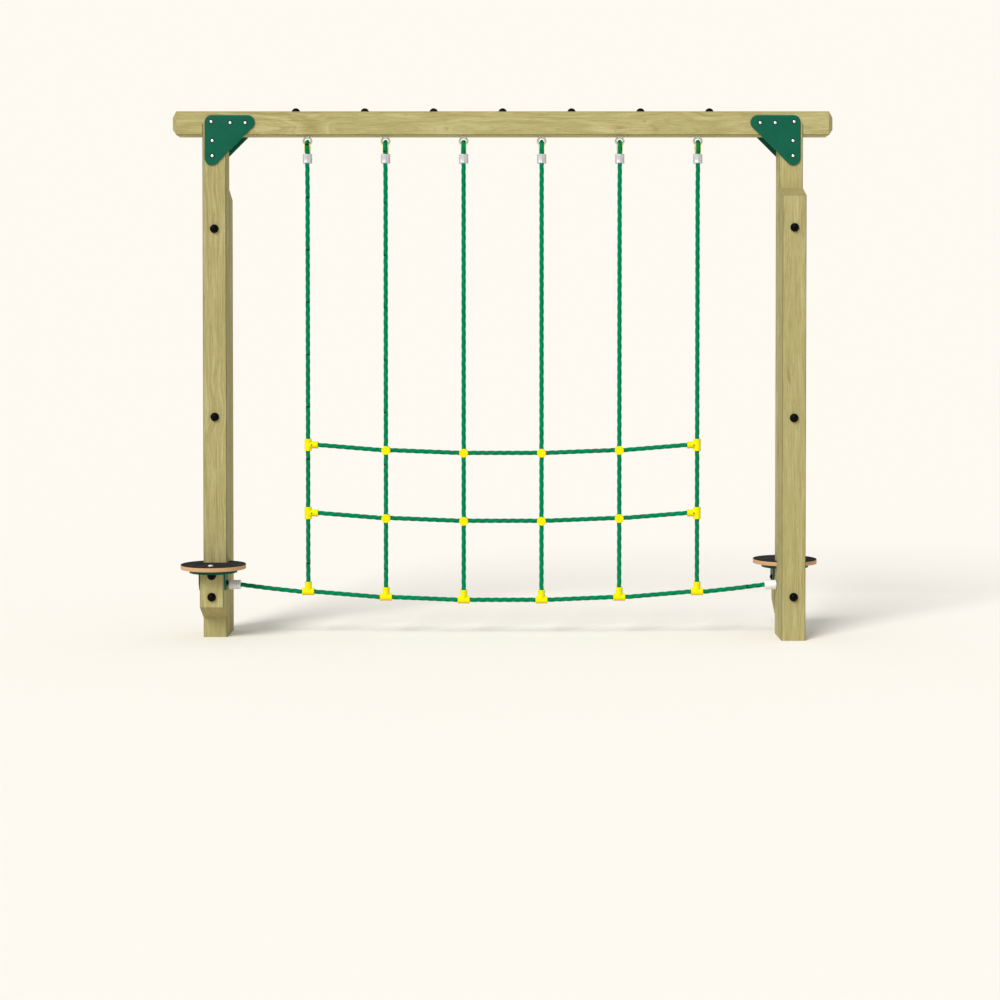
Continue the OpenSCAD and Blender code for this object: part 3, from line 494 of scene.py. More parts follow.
class Shape:
    """Closed solids gathered into one mesh."""

    def __init__(self):
        self.verts, self.faces = [], []

    def add(self, verts, faces, place=None):
        place = place or Matrix.Identity(4)
        first = len(self.verts)
        self.verts += [place @ Vector(v) for v in verts]
        self.faces += [tuple(first + i for i in face) for face in faces]
        return self

    def skin(self, rings, place=None, looped=False):
        """A skin over rings of as many points each, capped at its ends unless it is looped."""
        n, count = len(rings[0]), len(rings)
        faces = []
        for i in range(count if looped else count - 1):
            a, b = i * n, (i + 1) % count * n
            faces += [(a + k, a + (k + 1) % n, b + (k + 1) % n, b + k) for k in range(n)]
        if not looped:
            faces += [tuple(range(n - 1, -1, -1)), tuple((count - 1) * n + k for k in range(n))]
        return self.add([point for ring in rings for point in ring], faces, place)

    def turned(self, profile, place=None, segments=48, looped=False, lobes=0, lobe_depth=0.0):
        """A lathe form: profile is (radius, height) round local Z. Lobes press shallow flutes into it."""
        rings = []
        for radius, height in profile:
            ring = []
            for k in range(segments):
                angle = 2 * math.pi * k / segments
                r = radius - lobe_depth * (0.5 - 0.5 * math.cos(lobes * angle)) if lobes else radius
                ring.append((r * math.cos(angle), r * math.sin(angle), height))
            rings.append(ring)
        return self.skin(rings, place, looped)

    def prism(self, outline, low, high, place=None):
        """An outline in local XY, raised from low to high."""
        return self.skin([[(x, y, z) for x, y in outline] for z in (low, high)], place)

    def piece(self, name, material, body, replaces=(), slot=None, bevel=0.0, crease=40):
        """Turns the shape into a piece with eased edges, riding on body."""
        mesh = bpy.data.meshes.new(name)
        mesh.from_pydata([tuple(v) for v in self.verts], [], self.faces)
        form = bmesh.new()
        form.from_mesh(mesh)
        bmesh.ops.recalc_face_normals(form, faces=form.faces)
        if bevel:
            sharp = [e for e in form.edges if e.is_manifold and e.calc_face_angle(0) > math.radians(crease)]
            bmesh.ops.bevel(
                form, geom=sharp, offset=bevel, segments=3, profile=0.5, affect="EDGES", clamp_overlap=True
            )
        form.to_mesh(mesh)
        form.free()
        mesh.shade_smooth()
        mesh.set_sharp_from_angle(angle=math.radians(crease))
        return present(mesh, material, body, replaces)


def present(mesh, material, body, replaces=()):
    """Puts a mesh into the scene as a piece."""
    mesh.materials.append(material)
    made = bpy.data.objects.new(mesh.name, mesh)
    scene.collection.objects.link(made)
    if body:
        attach(made, body)
    if replaces:
        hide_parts(*replaces)
    return made


def arc(centre, radius, start, stop, steps):
    """Points on an arc in a plane; angles in degrees."""
    return [
        (centre[0] + radius * math.cos(math.radians(a)), centre[1] + radius * math.sin(math.radians(a)))
        for a in np.linspace(start, stop, steps + 1)
    ]


def dome(radius, base, rise, start, stop, count):
    """Profile of part of a flattened quarter round that stands on base; angles in radians."""
    return [(radius * math.cos(t), base + rise * math.sin(t)) for t in np.linspace(start, stop, count)]


def rounded_rod(radius, low, high, edge, steps=4):
    """Profile of a rod with rounded ends' edges."""
    return [
        *arc((radius - edge, low + edge), edge, -90, 0, steps),
        *arc((radius - edge, high - edge), edge, 0, 90, steps),
    ]


def sleeve(radius, bore, low, high, edge, steps=4):
    """Looped profile of a tube with rounded outer edges."""
    return [
        *rounded_rod(radius, low, high, edge, steps),
        (bore + edge / 2, high), (bore, high - edge / 2), (bore, low + edge / 2), (bore + edge / 2, low),
    ]


# ---- Ropes ----
STRANDS = 3
STRAND_R = 6.0 * MM
STRAND_CENTRE = 2.8 * MM
RING_POINTS = 10 * STRANDS
RING_STEP = 4 * MM
ROPE_TWIST_STEP = 0.9
STRAIGHTEN_POINTS = 24
LOOP_POINTS = 48


def strand_outline():
    """Distance from the rope's axis to its surface at each of RING_POINTS angles; a groove is at angle 0."""
    radii = []
    for k in range(RING_POINTS):
        angle = 2 * math.pi * k / RING_POINTS
        across = (angle % (2 * math.pi / STRANDS)) - math.pi / STRANDS
        radii.append(
            STRAND_CENTRE * math.cos(across)
            + math.sqrt(STRAND_R**2 - (STRAND_CENTRE * math.sin(across)) ** 2)
        )
    return np.array(radii)


def resampled(points, step):
    """points spaced evenly along their polyline, with its corners eased."""
    points = np.asarray(points, float)
    lengths = np.r_[0, np.cumsum(np.linalg.norm(np.diff(points, axis=0), axis=1))]
    count = max(2, round(lengths[-1] / step) + 1)
    stations = np.linspace(0, lengths[-1], count)
    even = np.stack([np.interp(stations, lengths, points[:, i]) for i in range(3)], axis=1)
    for _ in range(2):
        even[1:-1] = (even[:-2] + 2 * even[1:-1] + even[2:]) / 4
    return even


def rope(name, points, side, node, body, twist=0.0):
    """A laid rope along points, replacing its CAD tube. side is a direction the route never takes."""
    path = resampled(points, RING_STEP)
    tangents = np.gradient(path, axis=0)
    tangents /= np.linalg.norm(tangents, axis=1)[:, None]
    u = np.cross(tangents, np.array(side, float))
    u /= np.linalg.norm(u, axis=1)[:, None]
    v = np.cross(u, tangents)
    run = np.r_[0, np.cumsum(np.linalg.norm(np.diff(path, axis=0), axis=1))]
    radii = strand_outline()
    angles = 2 * np.pi * np.arange(RING_POINTS) / RING_POINTS
    turned = angles[None, :] + 2 * np.pi * run[:, None] / ROPE_LAY + twist
    rings = (
        path[:, None, :]
        + (radii * np.cos(turned))[:, :, None] * u[:, None, :]
        + (radii * np.sin(turned))[:, :, None] * v[:, None, :]
    )
    count, n = len(path), RING_POINTS
    faces, uv = [], []
    for i in range(count - 1):
        for k in range(n):
            following = (k + 1) % n
            faces.append((i * n + k, i * n + following, (i + 1) * n + following, (i + 1) * n + k))
            uv += [(k / n, run[i]), ((k + 1) / n, run[i]), ((k + 1) / n, run[i + 1]), (k / n, run[i + 1])]
    faces.append(tuple(range(n - 1, -1, -1)))
    uv += [(0.5, run[0])] * n
    last = (count - 1) * n
    faces.append(tuple(last + k for k in range(n)))
    uv += [(0.5, run[-1])] * n
    mesh = bpy.data.meshes.new(name)
    mesh.from_pydata(rings.reshape(-1, 3).tolist(), [], faces)
    mesh.uv_layers.new(name="rope").data.foreach_set("uv", np.array(uv, np.float32).ravel())
    mesh.shade_smooth()
    made = present(mesh, ROPE, body, [node])
    return made


def eased(t):
    return t * t * (3 - 2 * t)


LEG_DROP = LOOP_Z - FERRULE_TOP
LEG_ANGLE = math.atan2(-LEG_DROP, LEG_Y) + math.acos(LOOP_R / math.hypot(LEG_Y, LEG_DROP))


def hanging_route(x):
    """From the bottom connector up through the ferrule, over the thimble and back."""
    route = [(x, 0, bottom_z(x) + ROPE_R + 1 * MM)]
    for i in range(STRAIGHTEN_POINTS + 1):
        t = i / STRAIGHTEN_POINTS
        route.append((x, -LEG_Y * eased(t), FERRULE_BOTTOM - STRAIGHTEN * (1 - t)))
    route.append((x, -LEG_Y, FERRULE_TOP))
    for i in range(LOOP_POINTS + 1):
        angle = math.pi - LEG_ANGLE - i * (math.pi - 2 * LEG_ANGLE) / LOOP_POINTS
        route.append((x, LOOP_R * math.cos(angle), LOOP_Z + LOOP_R * math.sin(angle)))
    route += [(x, LEG_Y, FERRULE_TOP), (x, LEG_Y, FERRULE_BOTTOM + 2 * MM)]
    return route


def cross_route(row):
    """Behind the four inner hanging ropes, level in every connector."""
    end, mouth, r = OUTER_X - ROPE_R - 1 * MM, OUTER_X - CONNECTOR_REACH, CROSS_D / 2
    outer = cross_z(row, OUTER_X)
    inner = [(x + s * r, CROSS_SPACING, cross_z(row, x)) for x in ROPE_XS[1:-1] for s in (-1, 1)]
    return [(-end, 0, outer), (-mouth, 0, outer), *inner, (mouth, 0, outer), (end, 0, outer)]


def bottom_route():
    return [(x + s * CONNECTOR_LENGTH / 2, 0, bottom_z(x)) for x in ROPE_XS for s in (-1, 1)]


def end_route(side):
    """From a post's anchor to the outermost bottom connector."""
    inner = OUTER_X + CONNECTOR_LENGTH / 2 + MOUTH_GAP
    level = inner + ROPE_R
    middle_z = (ANCHOR_Z + bottom_z(OUTER_X)) / 2 - 1 * MM
    return [
        (side * (ANCHOR_MOUTH + ANCHOR_GRIP), 0, ANCHOR_Z), (side * ANCHOR_MOUTH, 0, ANCHOR_Z),
        (side * (ANCHOR_MOUTH + level) / 2, 0, middle_z), (side * level, 0, bottom_z(OUTER_X)),
        (side * inner, 0, bottom_z(OUTER_X)),
    ]


for index, rope_x in enumerate(ROPE_XS):
    rope(
        f"laid_hanging_rope_{index + 1}", hanging_route(rope_x), (1, 0, 0),
        f"hanging_rope_{index + 1}", "net", twist=ROPE_TWIST_STEP * index,
    )
for row, label in enumerate(("lower", "upper")):
    rope(
        f"laid_{label}_cross_rope", cross_route(row), (0, 0, 1),
        f"{label}_cross_rope", "net", twist=row,
    )
rope("laid_bottom_rope", bottom_route(), (0, 0, 1), "bottom_rope", "net")
for side, label in ((-1, "left"), (1, "right")):
    made = rope(
        f"laid_bottom_rope_{label}_end", end_route(side), (0, 0, 1), f"bottom_rope_{label}_end", None
    )
    bottom_z(OUTER_X)
    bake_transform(made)


# ---- Corner plates and their bolts ----
FRONT = Matrix.Rotation(math.pi / 2, 4, "X")
MIRROR = Matrix.Scale(-1, 4, (1, 0, 0))
FACES = {"front": (0, -1, 0), "rear": (0, 1, 0)}
SIDES = {"left": -1, "right": 1}


def plate_outline():
    """A right-angled plate with round corners, its outer top corner at 0, 0."""
    r, far = PLATE_CORNER, PLATE_SIZE - PLATE_CORNER
    return [*arc((r, -r), r, 90, 180, 16), *arc((r, -far), r, 180, 315, 24), *arc((far, -r), r, -45, 90, 24)]


def corner_plates():
    for side, sign in SIDES.items():
        for face, low in (("front", TIMBER / 2), ("rear", -TIMBER / 2 - PLATE_THICK)):
            place = Matrix.Translation((sign * PLATE_OUTER_X, 0, PLATE_TOP)) @ FRONT
            if sign > 0:
                place = place @ MIRROR
            Shape().prism(plate_outline(), low, low + PLATE_THICK, place).piece(
                f"{side}_{face}_corner_plate", GREEN_STEEL, "frame", [f"{side}_{face}_plate"], "green_steel",
                bevel=0.9 * MM,
            )


def plate_bolt_places(y, facing):
    return [
        at(sign * (PLATE_OUTER_X - across), y, PLATE_TOP - down, facing)
        for across, down in PLATE_BOLTS for sign in SIDES.values()
    ]


def plate_fixings():
    """Button heads in front, each on a black ring put there as painted shade round the head, and domed nuts
    behind.
    """
    face = TIMBER / 2 + PLATE_THICK
    heads, rings, nuts = Shape(), Shape(), Shape()
    shank_r, head_r, head_side, head_rise = 4 * MM, 5.6 * MM, 1.4 * MM, 2.9 * MM
    head = [
        (shank_r, -1 * MM), (head_r, 0.6 * MM), *dome(head_r, head_side, head_rise, 0, 1.25, 8),
        (1.5 * MM, 3.9 * MM), (1.3 * MM, 2.6 * MM), (AXIS, 2.5 * MM),
    ]
    # A black ring round each head, as painted shade
    ring = sleeve(8 * MM, 5.2 * MM, 0, 1.5 * MM, 0.5 * MM)
    for place in plate_bolt_places(-face, FACES["front"]):
        heads.turned(head, place, 32).turned(rounded_rod(shank_r, -2 * face, 0, 0.3 * MM), place, 24)
        rings.turned(ring, place, 40, looped=True)
    dome_r, dome_side, dome_rise = 5.9 * MM, 6 * MM, 4 * MM
    nut_dome = [(dome_r, 0), (dome_r, dome_side), *dome(dome_r, dome_side, dome_rise, 0.1, 1.55, 9)]
    hexagon_r, hexagon_thick = 7.4 * MM, 5.6 * MM
    hexagon = arc((0, 0), hexagon_r, 0, 360, 6)[:-1]
    for place in plate_bolt_places(face, FACES["rear"]):
        nuts.prism(hexagon, 0, hexagon_thick, place).turned(nut_dome, place, 32)
    heads.piece("plate_bolt_heads", BRIGHT_STEEL, "frame", ["plate_bolts"], "bright_steel")
    rings.piece("plate_bolt_shade_rings", BLACK_PLASTIC, "frame", ["plate_bolts"], "black_plastic")
    nuts.piece("plate_dome_nuts", BRIGHT_STEEL, "frame", ["plate_nuts"], "bright_steel", bevel=0.4 * MM)


# ---- Bolt caps ----
def cap_profile():
    """Domed cap with a small foot; from the inside's top out to the dome's top."""
    wall, foot, step, edge = 1.5 * MM, 2.4 * MM, 0.7 * MM, 0.4 * MM
    rise = CAP_HEIGHT - foot
    steep, points = math.pi / 2 - 0.01, 14
    inner = dome(CAP_R - step - wall, foot, rise - wall, steep, 0, points)
    outer = dome(CAP_R - step, foot, rise, 0, steep, points)
    return [
        *inner, (CAP_R - step - wall, 0), (CAP_R - edge, 0), (CAP_R, edge), (CAP_R, foot - 0.5 * MM),
        (CAP_R - 0.3 * MM, foot - 0.1 * MM), *outer,
    ]


def bolt_caps():
    caps, near, far = Shape(), -TIMBER / 2, TIMBER / 2
    places = []
    for z in POST_BOLT_HEIGHTS:
        front_y = near - TIMBER if z == POST_BOLT_HEIGHTS[0] else near
        places += [at(-POST_X, front_y, z, FACES["front"]), at(-POST_X, far + TIMBER, z, FACES["rear"])]
    places.append(at(-POST_X, near - TIMBER, BLOCK_SCREW_Z, FACES["front"]))
    places.append(at(-POST_X - TIMBER / 2, 0, ANCHOR_Z, (-1, 0, 0)))
    for turn in BOTH_SIDES:
        for place in places:
            caps.turned(cap_profile(), turn @ place, 40)
    caps.piece("domed_bolt_caps", BLACK_PLASTIC, "frame", ["bolt_caps"], "black_plastic")
    caps = Shape()
    for x in BEAM_SCREW_XS:
        caps.turned(cap_profile(), at(x, 0, FRAME_HEIGHT), 40)
    caps.piece("domed_beam_caps", BLACK_PLASTIC, "frame", ["beam_screw_caps"], "black_plastic")


# ---- Eye bolts, thimbles and ferrules ----
def eye_bolts():
    bar, shank = EYE_BAR_D / 2, 5 * MM
    sections, points = 64, 20
    rings = []
    for t in np.linspace(0, 2 * math.pi, sections, endpoint=False):
        ring = []
        for s in np.linspace(0, 2 * math.pi, points, endpoint=False):
            r = EYE_MID_R + bar * math.cos(s)
            ring.append((r * math.cos(t), bar * math.sin(s), r * math.sin(t)))
        rings.append(ring)
    # A neck that flares into a collar under the beam, then the shank
    collar = 9 * MM
    neck = [
        (4.2 * MM, -7 * MM), (4.8 * MM, -5 * MM), (6.4 * MM, -3.6 * MM), (8.4 * MM, -3 * MM),
        (collar, -2.5 * MM), (collar, -0.5 * MM), (collar - 0.4 * MM, 0),
        (shank, 0), (shank, EYE_SHANK_TOP - BEAM_BOTTOM),
    ]
    for i, x in enumerate(ROPE_XS):
        bolt = Shape().skin(rings, at(x, 0, EYE_Z), looped=True).turned(neck, at(x, 0, BEAM_BOTTOM), 36)
        bolt.piece(f"forged_eye_bolt_{i + 1}", BRIGHT_STEEL, "frame", [f"eye_bolt_{i + 1}"], "bright_steel")


def thimble_rings():
    """Gutter sections along the loop, tail to tail, in the loop's own YZ plane."""
    inner, outer = ROPE_R + LOOP_GAP / 2, ROPE_R + THIMBLE_WALL
    lip = (outer - inner) / 2
    section = [*arc((0, 0), outer, -90, 90, 18), *arc((0, inner + lip), lip, 90, 270, 8)[1:-1]]
    section += [*arc((0, 0), inner, 90, -90, 18), *arc((0, -inner - lip), lip, 90, 270, 8)[1:-1]]
    stations = [(LEG_ANGLE, t) for t in np.linspace(THIMBLE_TAIL, 0, 6, endpoint=False)]
    stations += [(a, 0.0) for a in np.linspace(LEG_ANGLE, math.pi - LEG_ANGLE, 40)]
    stations += [(math.pi - LEG_ANGLE, -t) for t in np.linspace(0, THIMBLE_TAIL, 7)[1:]]
    rings = []
    for angle, tail in stations:
        y = LOOP_R * math.cos(angle) + tail * math.sin(angle)
        z = LOOP_R * math.sin(angle) - tail * math.cos(angle)
        centre = Vector((0, y, z))
        inward = Vector((0, -math.cos(angle), -math.sin(angle)))
        rings.append([centre + u * inward + Vector((v, 0, 0)) for u, v in section])
    return rings


def rope_hangers():
    rings = thimble_rings()
    thimbles, ferrules = Shape(), Shape()
    r = FERRULE_D / 2
    # A full band at each end of a slightly pressed-in middle
    band, pressed, ramp, edge = 5 * MM, 0.5 * MM, 1 * MM, 2.5 * MM
    profile = [
        *arc((r - edge, edge), edge, -90, 0, 6), (r, band),
        (r - pressed, band + ramp), (r - pressed, FERRULE_LENGTH - band - ramp), (r, FERRULE_LENGTH - band),
        *arc((r - edge, FERRULE_LENGTH - edge), edge, 0, 90, 6),
    ]
    # Eight flutes leave the full radius front and back, where the rope's two legs lie
    flutes, flute_depth = 8, 1.4 * MM
    for x in ROPE_XS:
        thimbles.skin(rings, at(x, 0, LOOP_Z))
        ferrules.turned(profile, at(x, 0, FERRULE_BOTTOM), 72, lobes=flutes, lobe_depth=flute_depth)
    thimbles.piece("gutter_thimbles", YELLOW_PLASTIC, "net", ["rope_thimbles"], "yellow_plastic")
    ferrules.piece("pressed_ferrules", ALUMINIUM, "net", ["rope_ferrules"], "aluminium")


def rope_anchors():
    """Pressed sleeves with two grooves, each on a stud through its post."""
    r, length = FERRULE_D / 2, POST_X - TIMBER / 2 - WASHER - ANCHOR_MOUTH
    groove, edge, bore = 0.8 * MM, 2 * MM, ROPE_R + 0.3 * MM
    profile = [*arc((r - edge, edge), edge, -90, 0, 6)]
    for centre in (0.30 * length, 0.62 * length):
        for dz, depth in ((-2.6, 0), (-1.8, 1), (1.8, 1), (2.6, 0)):
            profile.append((r - groove * depth, centre + dz * MM))
    profile += [
        *arc((r - edge, length - edge), edge, 0, 90, 6),
        (bore + 1.5 * MM, length), (bore, length - 1.5 * MM), (bore, length - 7 * MM),
    ]
    stud_r, nut_and_thread = 6 * MM, 8 * MM
    stud = rounded_rod(stud_r, -TIMBER - 2 * WASHER - nut_and_thread, 0.5 * MM, 0.4 * MM)
    for side, turn in zip(SIDES, BOTH_SIDES):
        place = turn @ at(-ANCHOR_MOUTH - length, 0, ANCHOR_Z, (1, 0, 0))
        anchor = Shape().turned(profile, place, 72, lobes=6, lobe_depth=0.4 * MM).turned(stud, place, 28)
        anchor.piece(f"{side}_pressed_anchor", LIT_ANCHOR_METAL, "frame", [f"{side}_rope_anchor"], "aluminium")


# ---- Rope connectors ----
def fused(shape, voxel, rounds):
    """The shape's solids melted into one skin with soft edges, as vertices and faces."""
    mesh = bpy.data.meshes.new("fused")
    mesh.from_pydata([tuple(v) for v in shape.verts], [], shape.faces)
    form = bmesh.new()
    form.from_mesh(mesh)
    bmesh.ops.recalc_face_normals(form, faces=form.faces)
    form.to_mesh(mesh)
    form.free()
    holder = bpy.data.objects.new("fused", mesh)
    scene.collection.objects.link(holder)
    remesh = holder.modifiers.new("remesh", "REMESH")
    remesh.mode = "VOXEL"
    remesh.voxel_size = voxel
    smooth = holder.modifiers.new("smooth", "SMOOTH")
    smooth.iterations = rounds
    done = bpy.data.meshes.new_from_object(holder.evaluated_get(bpy.context.evaluated_depsgraph_get()))
    verts = [v.co.copy() for v in done.vertices]
    faces = [tuple(f.vertices) for f in done.polygons]
    bpy.data.objects.remove(holder)
    bpy.data.meshes.remove(done)
    bpy.data.meshes.remove(mesh)
    return verts, faces


def mouth(radius, end, collar, waist):
    """Half a connector's profile, from its waist out to a mouth with a collar and a flared bore."""
    bore, edge, flare, depth = ROPE_R + 0.4 * MM, 1.2 * MM, 1.4 * MM, 6 * MM
    return [
        (waist, end - collar - 1.5 * MM), (radius, end - collar), (radius, end - edge), (radius - edge, end),
        (bore + flare, end), (bore, end - flare), (bore, end - depth),
    ]


def tee():
    """Barrel along Z with a branch along +X, collars at its three mouths and a boss for its screw."""
    radius, waist, collar = CONNECTOR_D / 2, CONNECTOR_D / 2 - 0.5 * MM, 7 * MM
    half_length = CONNECTOR_LENGTH / 2
    top = mouth(radius, half_length, collar, waist)
    shape = Shape()
    shape.turned([(r, -z) for r, z in reversed(top)] + top, None, 64)
    # The branch is a little slimmer than the barrel
    slimmer = 0.25 * MM
    branch = mouth(radius - slimmer, CONNECTOR_REACH, collar, waist - slimmer)
    shape.turned([(waist - slimmer, 0), *branch], at(0, 0, 0, (1, 0, 0)), 64)
    boss_r, boss_root, boss_edge = 5 * MM, 8 * MM, 0.6 * MM
    boss = rounded_rod(boss_r, boss_root, CONNECTOR_D / 2 - 0.3 * MM, boss_edge)
    shape.turned(boss, at(CONNECTOR_SCREW, 0, 0, FACES["front"]), 32)
    return fused(shape, voxel=1.0 * MM, rounds=2)


def side_tee_places():
    """Barrels upright, with their branches towards the middle."""
    turns = {-1: Matrix.Identity(4), 1: MIRROR}
    return [
        Matrix.Translation((sign * OUTER_X, 0, cross_z(row, OUTER_X))) @ turns[sign]
        for row in range(2) for sign in SIDES.values()
    ]


def bottom_tee_places():
    upright = HALF_TURN @ Matrix.Rotation(-math.pi / 2, 4, "Y")
    return [Matrix.Translation((x, 0, bottom_z(x))) @ upright for x in ROPE_XS]


def cross_places():
    facing = Matrix.Rotation(-math.pi / 2, 4, "X")
    return [
        Matrix.Translation((x, CROSS_SPACING / 2, cross_z(row, x))) @ facing
        for row in range(2) for x in ROPE_XS[1:-1]
    ]


def connectors():
    verts, faces = tee()
    for name, node, places in (
        ("moulded_side_tees", "side_connectors", side_tee_places()),
        ("moulded_bottom_tees", "bottom_connectors", bottom_tee_places()),
    ):
        shape = Shape()
        for place in places:
            shape.add(verts, faces, place)
        shape.piece(name, YELLOW_PLASTIC, "net", [node], "yellow_plastic", crease=80)
    # Round connectors: two dished halves that meet in a seam, with a recess for the screw
    wall, edge, dish, seam, recess = 4 * MM, 3.2 * MM, 0.3 * MM, 0.4 * MM, 0.4 * MM
    r, half_length = CROSS_D / 2, ROPE_R + CROSS_SPACING / 2 + wall
    drum = [(AXIS, -half_length + dish), (0.55 * r, -half_length + dish), (0.68 * r, -half_length)]
    drum += arc((r - edge, -half_length + edge), edge, -90, 0, 8)
    drum += [(r, -1.0 * MM), (r - seam, -0.6 * MM), (r - seam, 0.6 * MM), (r, 1.0 * MM)]
    drum += arc((r - edge, half_length - edge), edge, 0, 90, 8)
    drum += [(0.36 * r, half_length), (0.30 * r, half_length - recess), (AXIS, half_length - recess)]
    drums = Shape()
    for place in cross_places():
        drums.turned(drum, place, 64)
    drums.piece(
        "moulded_cross_drums", YELLOW_PLASTIC, "net", ["cross_connectors"], "yellow_plastic", crease=50
    )
    # A shank, then a pan head with a recess
    shank_r = 1.75 * MM
    screw = [
        (shank_r, -5 * MM), (shank_r, -0.2 * MM), (2.6 * MM, -0.2 * MM), (2.9 * MM, 0.2 * MM),
        (2.8 * MM, 0.8 * MM), (2.3 * MM, 1.3 * MM), (1.4 * MM, 1.5 * MM), (1.2 * MM, 0.5 * MM),
        (AXIS, 0.4 * MM),
    ]
    screws = Shape()
    on_boss = at(CONNECTOR_SCREW, -CONNECTOR_D / 2 + 0.25 * MM, 0, FACES["front"])
    for place in side_tee_places() + bottom_tee_places():
        screws.turned(screw, place @ on_boss, 24)
    for place in cross_places():
        screws.turned(screw, place @ at(0, 0, half_length - 0.2 * MM), 24)
    screws.piece("connector_lock_screws", DARK_STEEL, "net", ["connector_screws"], "bright_steel")


# ---- Steps ----
def notched_disc(radius):
    """A step's outline round 0, 0, notched behind for the main post."""
    side, back = TIMBER / 2 + NOTCH_GAP, TIMBER / 2 - NOTCH_GAP
    lean = math.degrees(math.acos(side / radius))
    return [*arc((0, 0), radius, 180 - lean, 360 + lean, 120), (side, back), (-side, back)]


def stud_places():
    """A hexagonal pattern on the step, clear of its rim, the post and the bolt's head."""
    pitch = 7 * MM
    row_pitch = 0.866 * pitch
    rim, post_gap, post_margin, bolt_gap = 5 * MM, 4 * MM, 5 * MM, 13 * MM
    reach = STEP_R - rim
    clear = TIMBER / 2 + NOTCH_GAP + post_gap
    rows = int(reach / row_pitch)
    places = []
    for j in range(-rows, rows + 1):
        y = j * row_pitch
        for i in range(-rows, rows + 1):
            x = (i + 0.5 * (j % 2)) * pitch
            near_post = abs(x) < clear and y > TIMBER / 2 - post_margin
            near_bolt = math.hypot(x, y - DOME_BOLT_Y) < bolt_gap
            if math.hypot(x, y) < reach and not near_post and not near_bolt:
                places.append((x, y))
    return places


def steps():
    stud_r, shank_r = 1.6 * MM, 4 * MM
    sheet_top = STEP_TOP - 0.5 * MM
    stud = [(stud_r, sheet_top - 0.2 * MM), (stud_r, sheet_top + 0.1 * MM), (0.6 * stud_r, STEP_TOP)]
    head_r, head_rise = 10 * MM, 5 * MM
    bolt = [
        (head_r, 0), *dome(head_r, 0, head_rise, 0.12, 1.22, 10),
        (2.6 * MM, 4.7 * MM), (2.4 * MM, 2.4 * MM), (AXIS, 2.3 * MM),
    ]
    shank = rounded_rod(shank_r, STEP_BOARD_BOTTOM - 5 * MM, STEP_TOP, 0.3 * MM)
    bolts = Shape()
    for side, turn in zip(SIDES, BOTH_SIDES):
        place = turn @ Matrix.Translation((-POST_X, -TIMBER, 0))
        board = Shape().prism(notched_disc(STEP_R), STEP_BOARD_BOTTOM, STEP_BOARD_TOP, place)
        board.piece(
            f"{side}_plywood_step", PLYWOOD, "frame", [f"{side}_step_board"], "plywood", bevel=1.2 * MM
        )
        grip = Shape().prism(notched_disc(STEP_R - 0.6 * MM), STEP_BOARD_TOP, sheet_top, place)
        for x, y in stud_places():
            grip.turned(stud, place @ Matrix.Translation((x, y, 0)), 8)
        grip.piece(f"{side}_studded_grip", GRIP_SHEET, "frame", [f"{side}_step_grip"], "grip")
        bolts.turned(bolt, place @ at(0, DOME_BOLT_Y, STEP_TOP), 40)
        bolts.turned(shank, place @ at(0, DOME_BOLT_Y, 0), 20)
    bolts.piece("step_cup_head_bolts", BRIGHT_STEEL, "frame", ["step_dome_bolts"], "bright_steel")


corner_plates()
plate_fixings()
bolt_caps()
eye_bolts()
rope_hangers()
rope_anchors()
connectors()
steps()


# ---- Materials of the CAD nodes that stay ----
def dress(material, *names):
    for name in names:
        mesh = nodes[name].data
        mesh.materials.clear()
        mesh.materials.append(material)


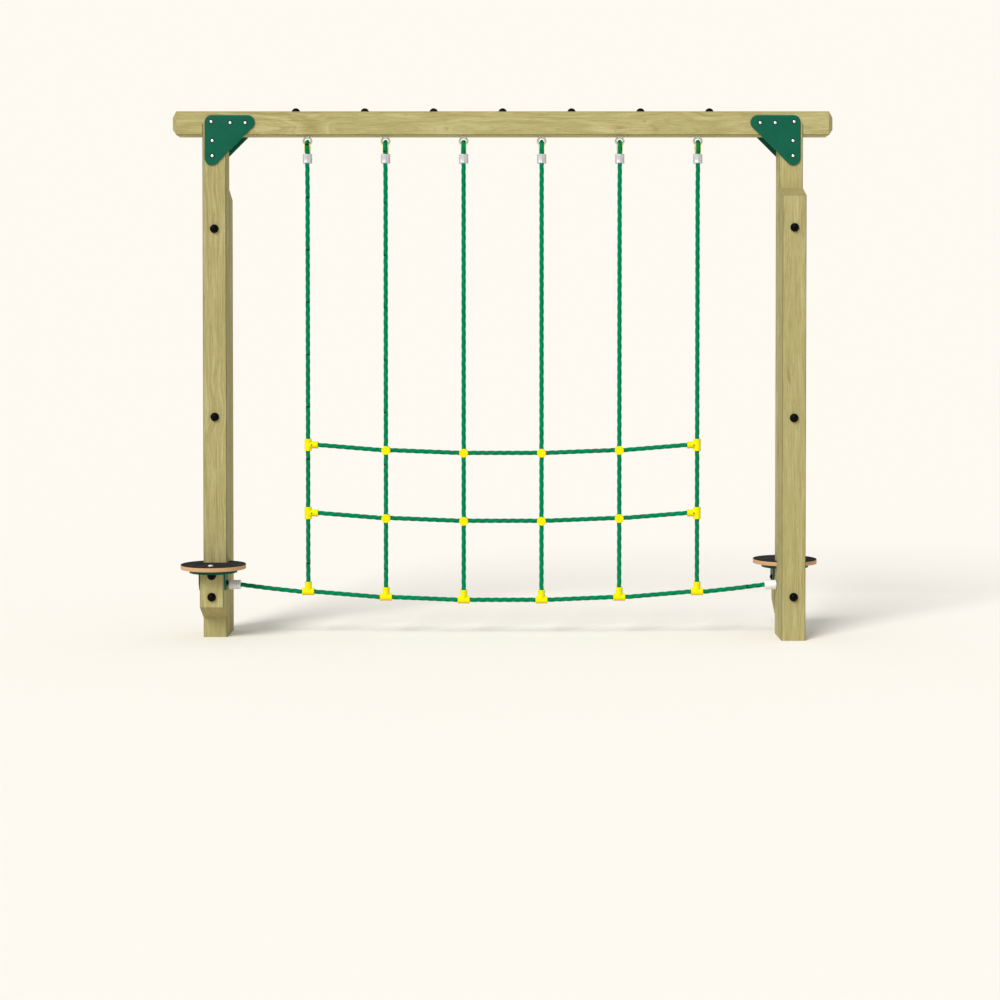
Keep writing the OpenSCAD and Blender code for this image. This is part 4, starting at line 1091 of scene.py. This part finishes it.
dress(planed_timber("timber_beam", 0, (0, BEAM_BOTTOM + TIMBER / 2), 1), "top_beam")
for seed, (name, x, y) in enumerate((
    ("left_post", -1, 0), ("right_post", 1, 0), ("left_support_post", -1, 1), ("right_support_post", 1, -1),
    ("left_step_block", -1, -1), ("right_step_block", 1, 1),
)):
    dress(planed_timber("timber_" + name, 2, (x * POST_X, y * TIMBER), seed + 2), name)
dress(GREEN_STEEL, "left_step_bracket", "right_step_bracket")
dress(
    BRIGHT_STEEL, "post_bolts", "post_washers", "post_nuts", "step_block_screws", "beam_screws",
    "eye_bolt_washers", "eye_bolt_nuts", "step_board_screws",
)
dress(BLACK_PLASTIC, "eye_bolt_plugs", "bracket_bolts", "bracket_nuts")


# ---- Floor and light ----
PALE = linear(254, 250, 241)
AMBIENT = 0.55
SUN_STRENGTH = 2.4
SUN_SPREAD = math.radians(25)
SUN_FROM = Vector((-0.45, -0.75, 0.75)).normalized()
FLOOR_LIGHT = AMBIENT + SUN_STRENGTH * SUN_FROM.z / math.pi
FLOOR_REACH = 80


def studio():
    """A pale floor that meets an equally pale background, one broad soft sun and an even sky."""
    p = Paint("pale_floor")
    tone = tuple(c / FLOOR_LIGHT for c in PALE[:3]) + (1.0,)
    mesh = bpy.data.meshes.new("floor")
    corners = [(x * FLOOR_REACH, y * FLOOR_REACH, 0) for x, y in ((-1, -1), (1, -1), (1, 1), (-1, 1))]
    mesh.from_pydata(corners, [], [(0, 1, 2, 3)])
    floor = present(mesh, p.finish(Base_Color=tone, Roughness=1.0, Specular_IOR_Level=0.0), None)

    world = bpy.data.worlds.new("studio")
    scene.world = world
    world.use_nodes = True
    tree = world.node_tree
    tree.nodes.clear()
    seen, lighting = tree.nodes.new("ShaderNodeBackground"), tree.nodes.new("ShaderNodeBackground")
    seen.inputs["Color"].default_value = PALE
    lighting.inputs["Color"].default_value = (AMBIENT, AMBIENT, AMBIENT, 1)
    path = tree.nodes.new("ShaderNodeLightPath")
    choose = tree.nodes.new("ShaderNodeMixShader")
    output = tree.nodes.new("ShaderNodeOutputWorld")
    tree.links.new(path.outputs["Is Camera Ray"], choose.inputs[0])
    tree.links.new(lighting.outputs[0], choose.inputs[1])
    tree.links.new(seen.outputs[0], choose.inputs[2])
    tree.links.new(choose.outputs[0], output.inputs[0])

    data = bpy.data.lights.new("soft_sun", "SUN")
    data.energy = SUN_STRENGTH
    data.angle = SUN_SPREAD
    sun = bpy.data.objects.new("soft_sun", data)
    sun.rotation_euler = SUN_FROM.to_track_quat("Z", "Y").to_euler()
    scene.collection.objects.link(sun)


studio()
scene.view_settings.view_transform = "Standard"
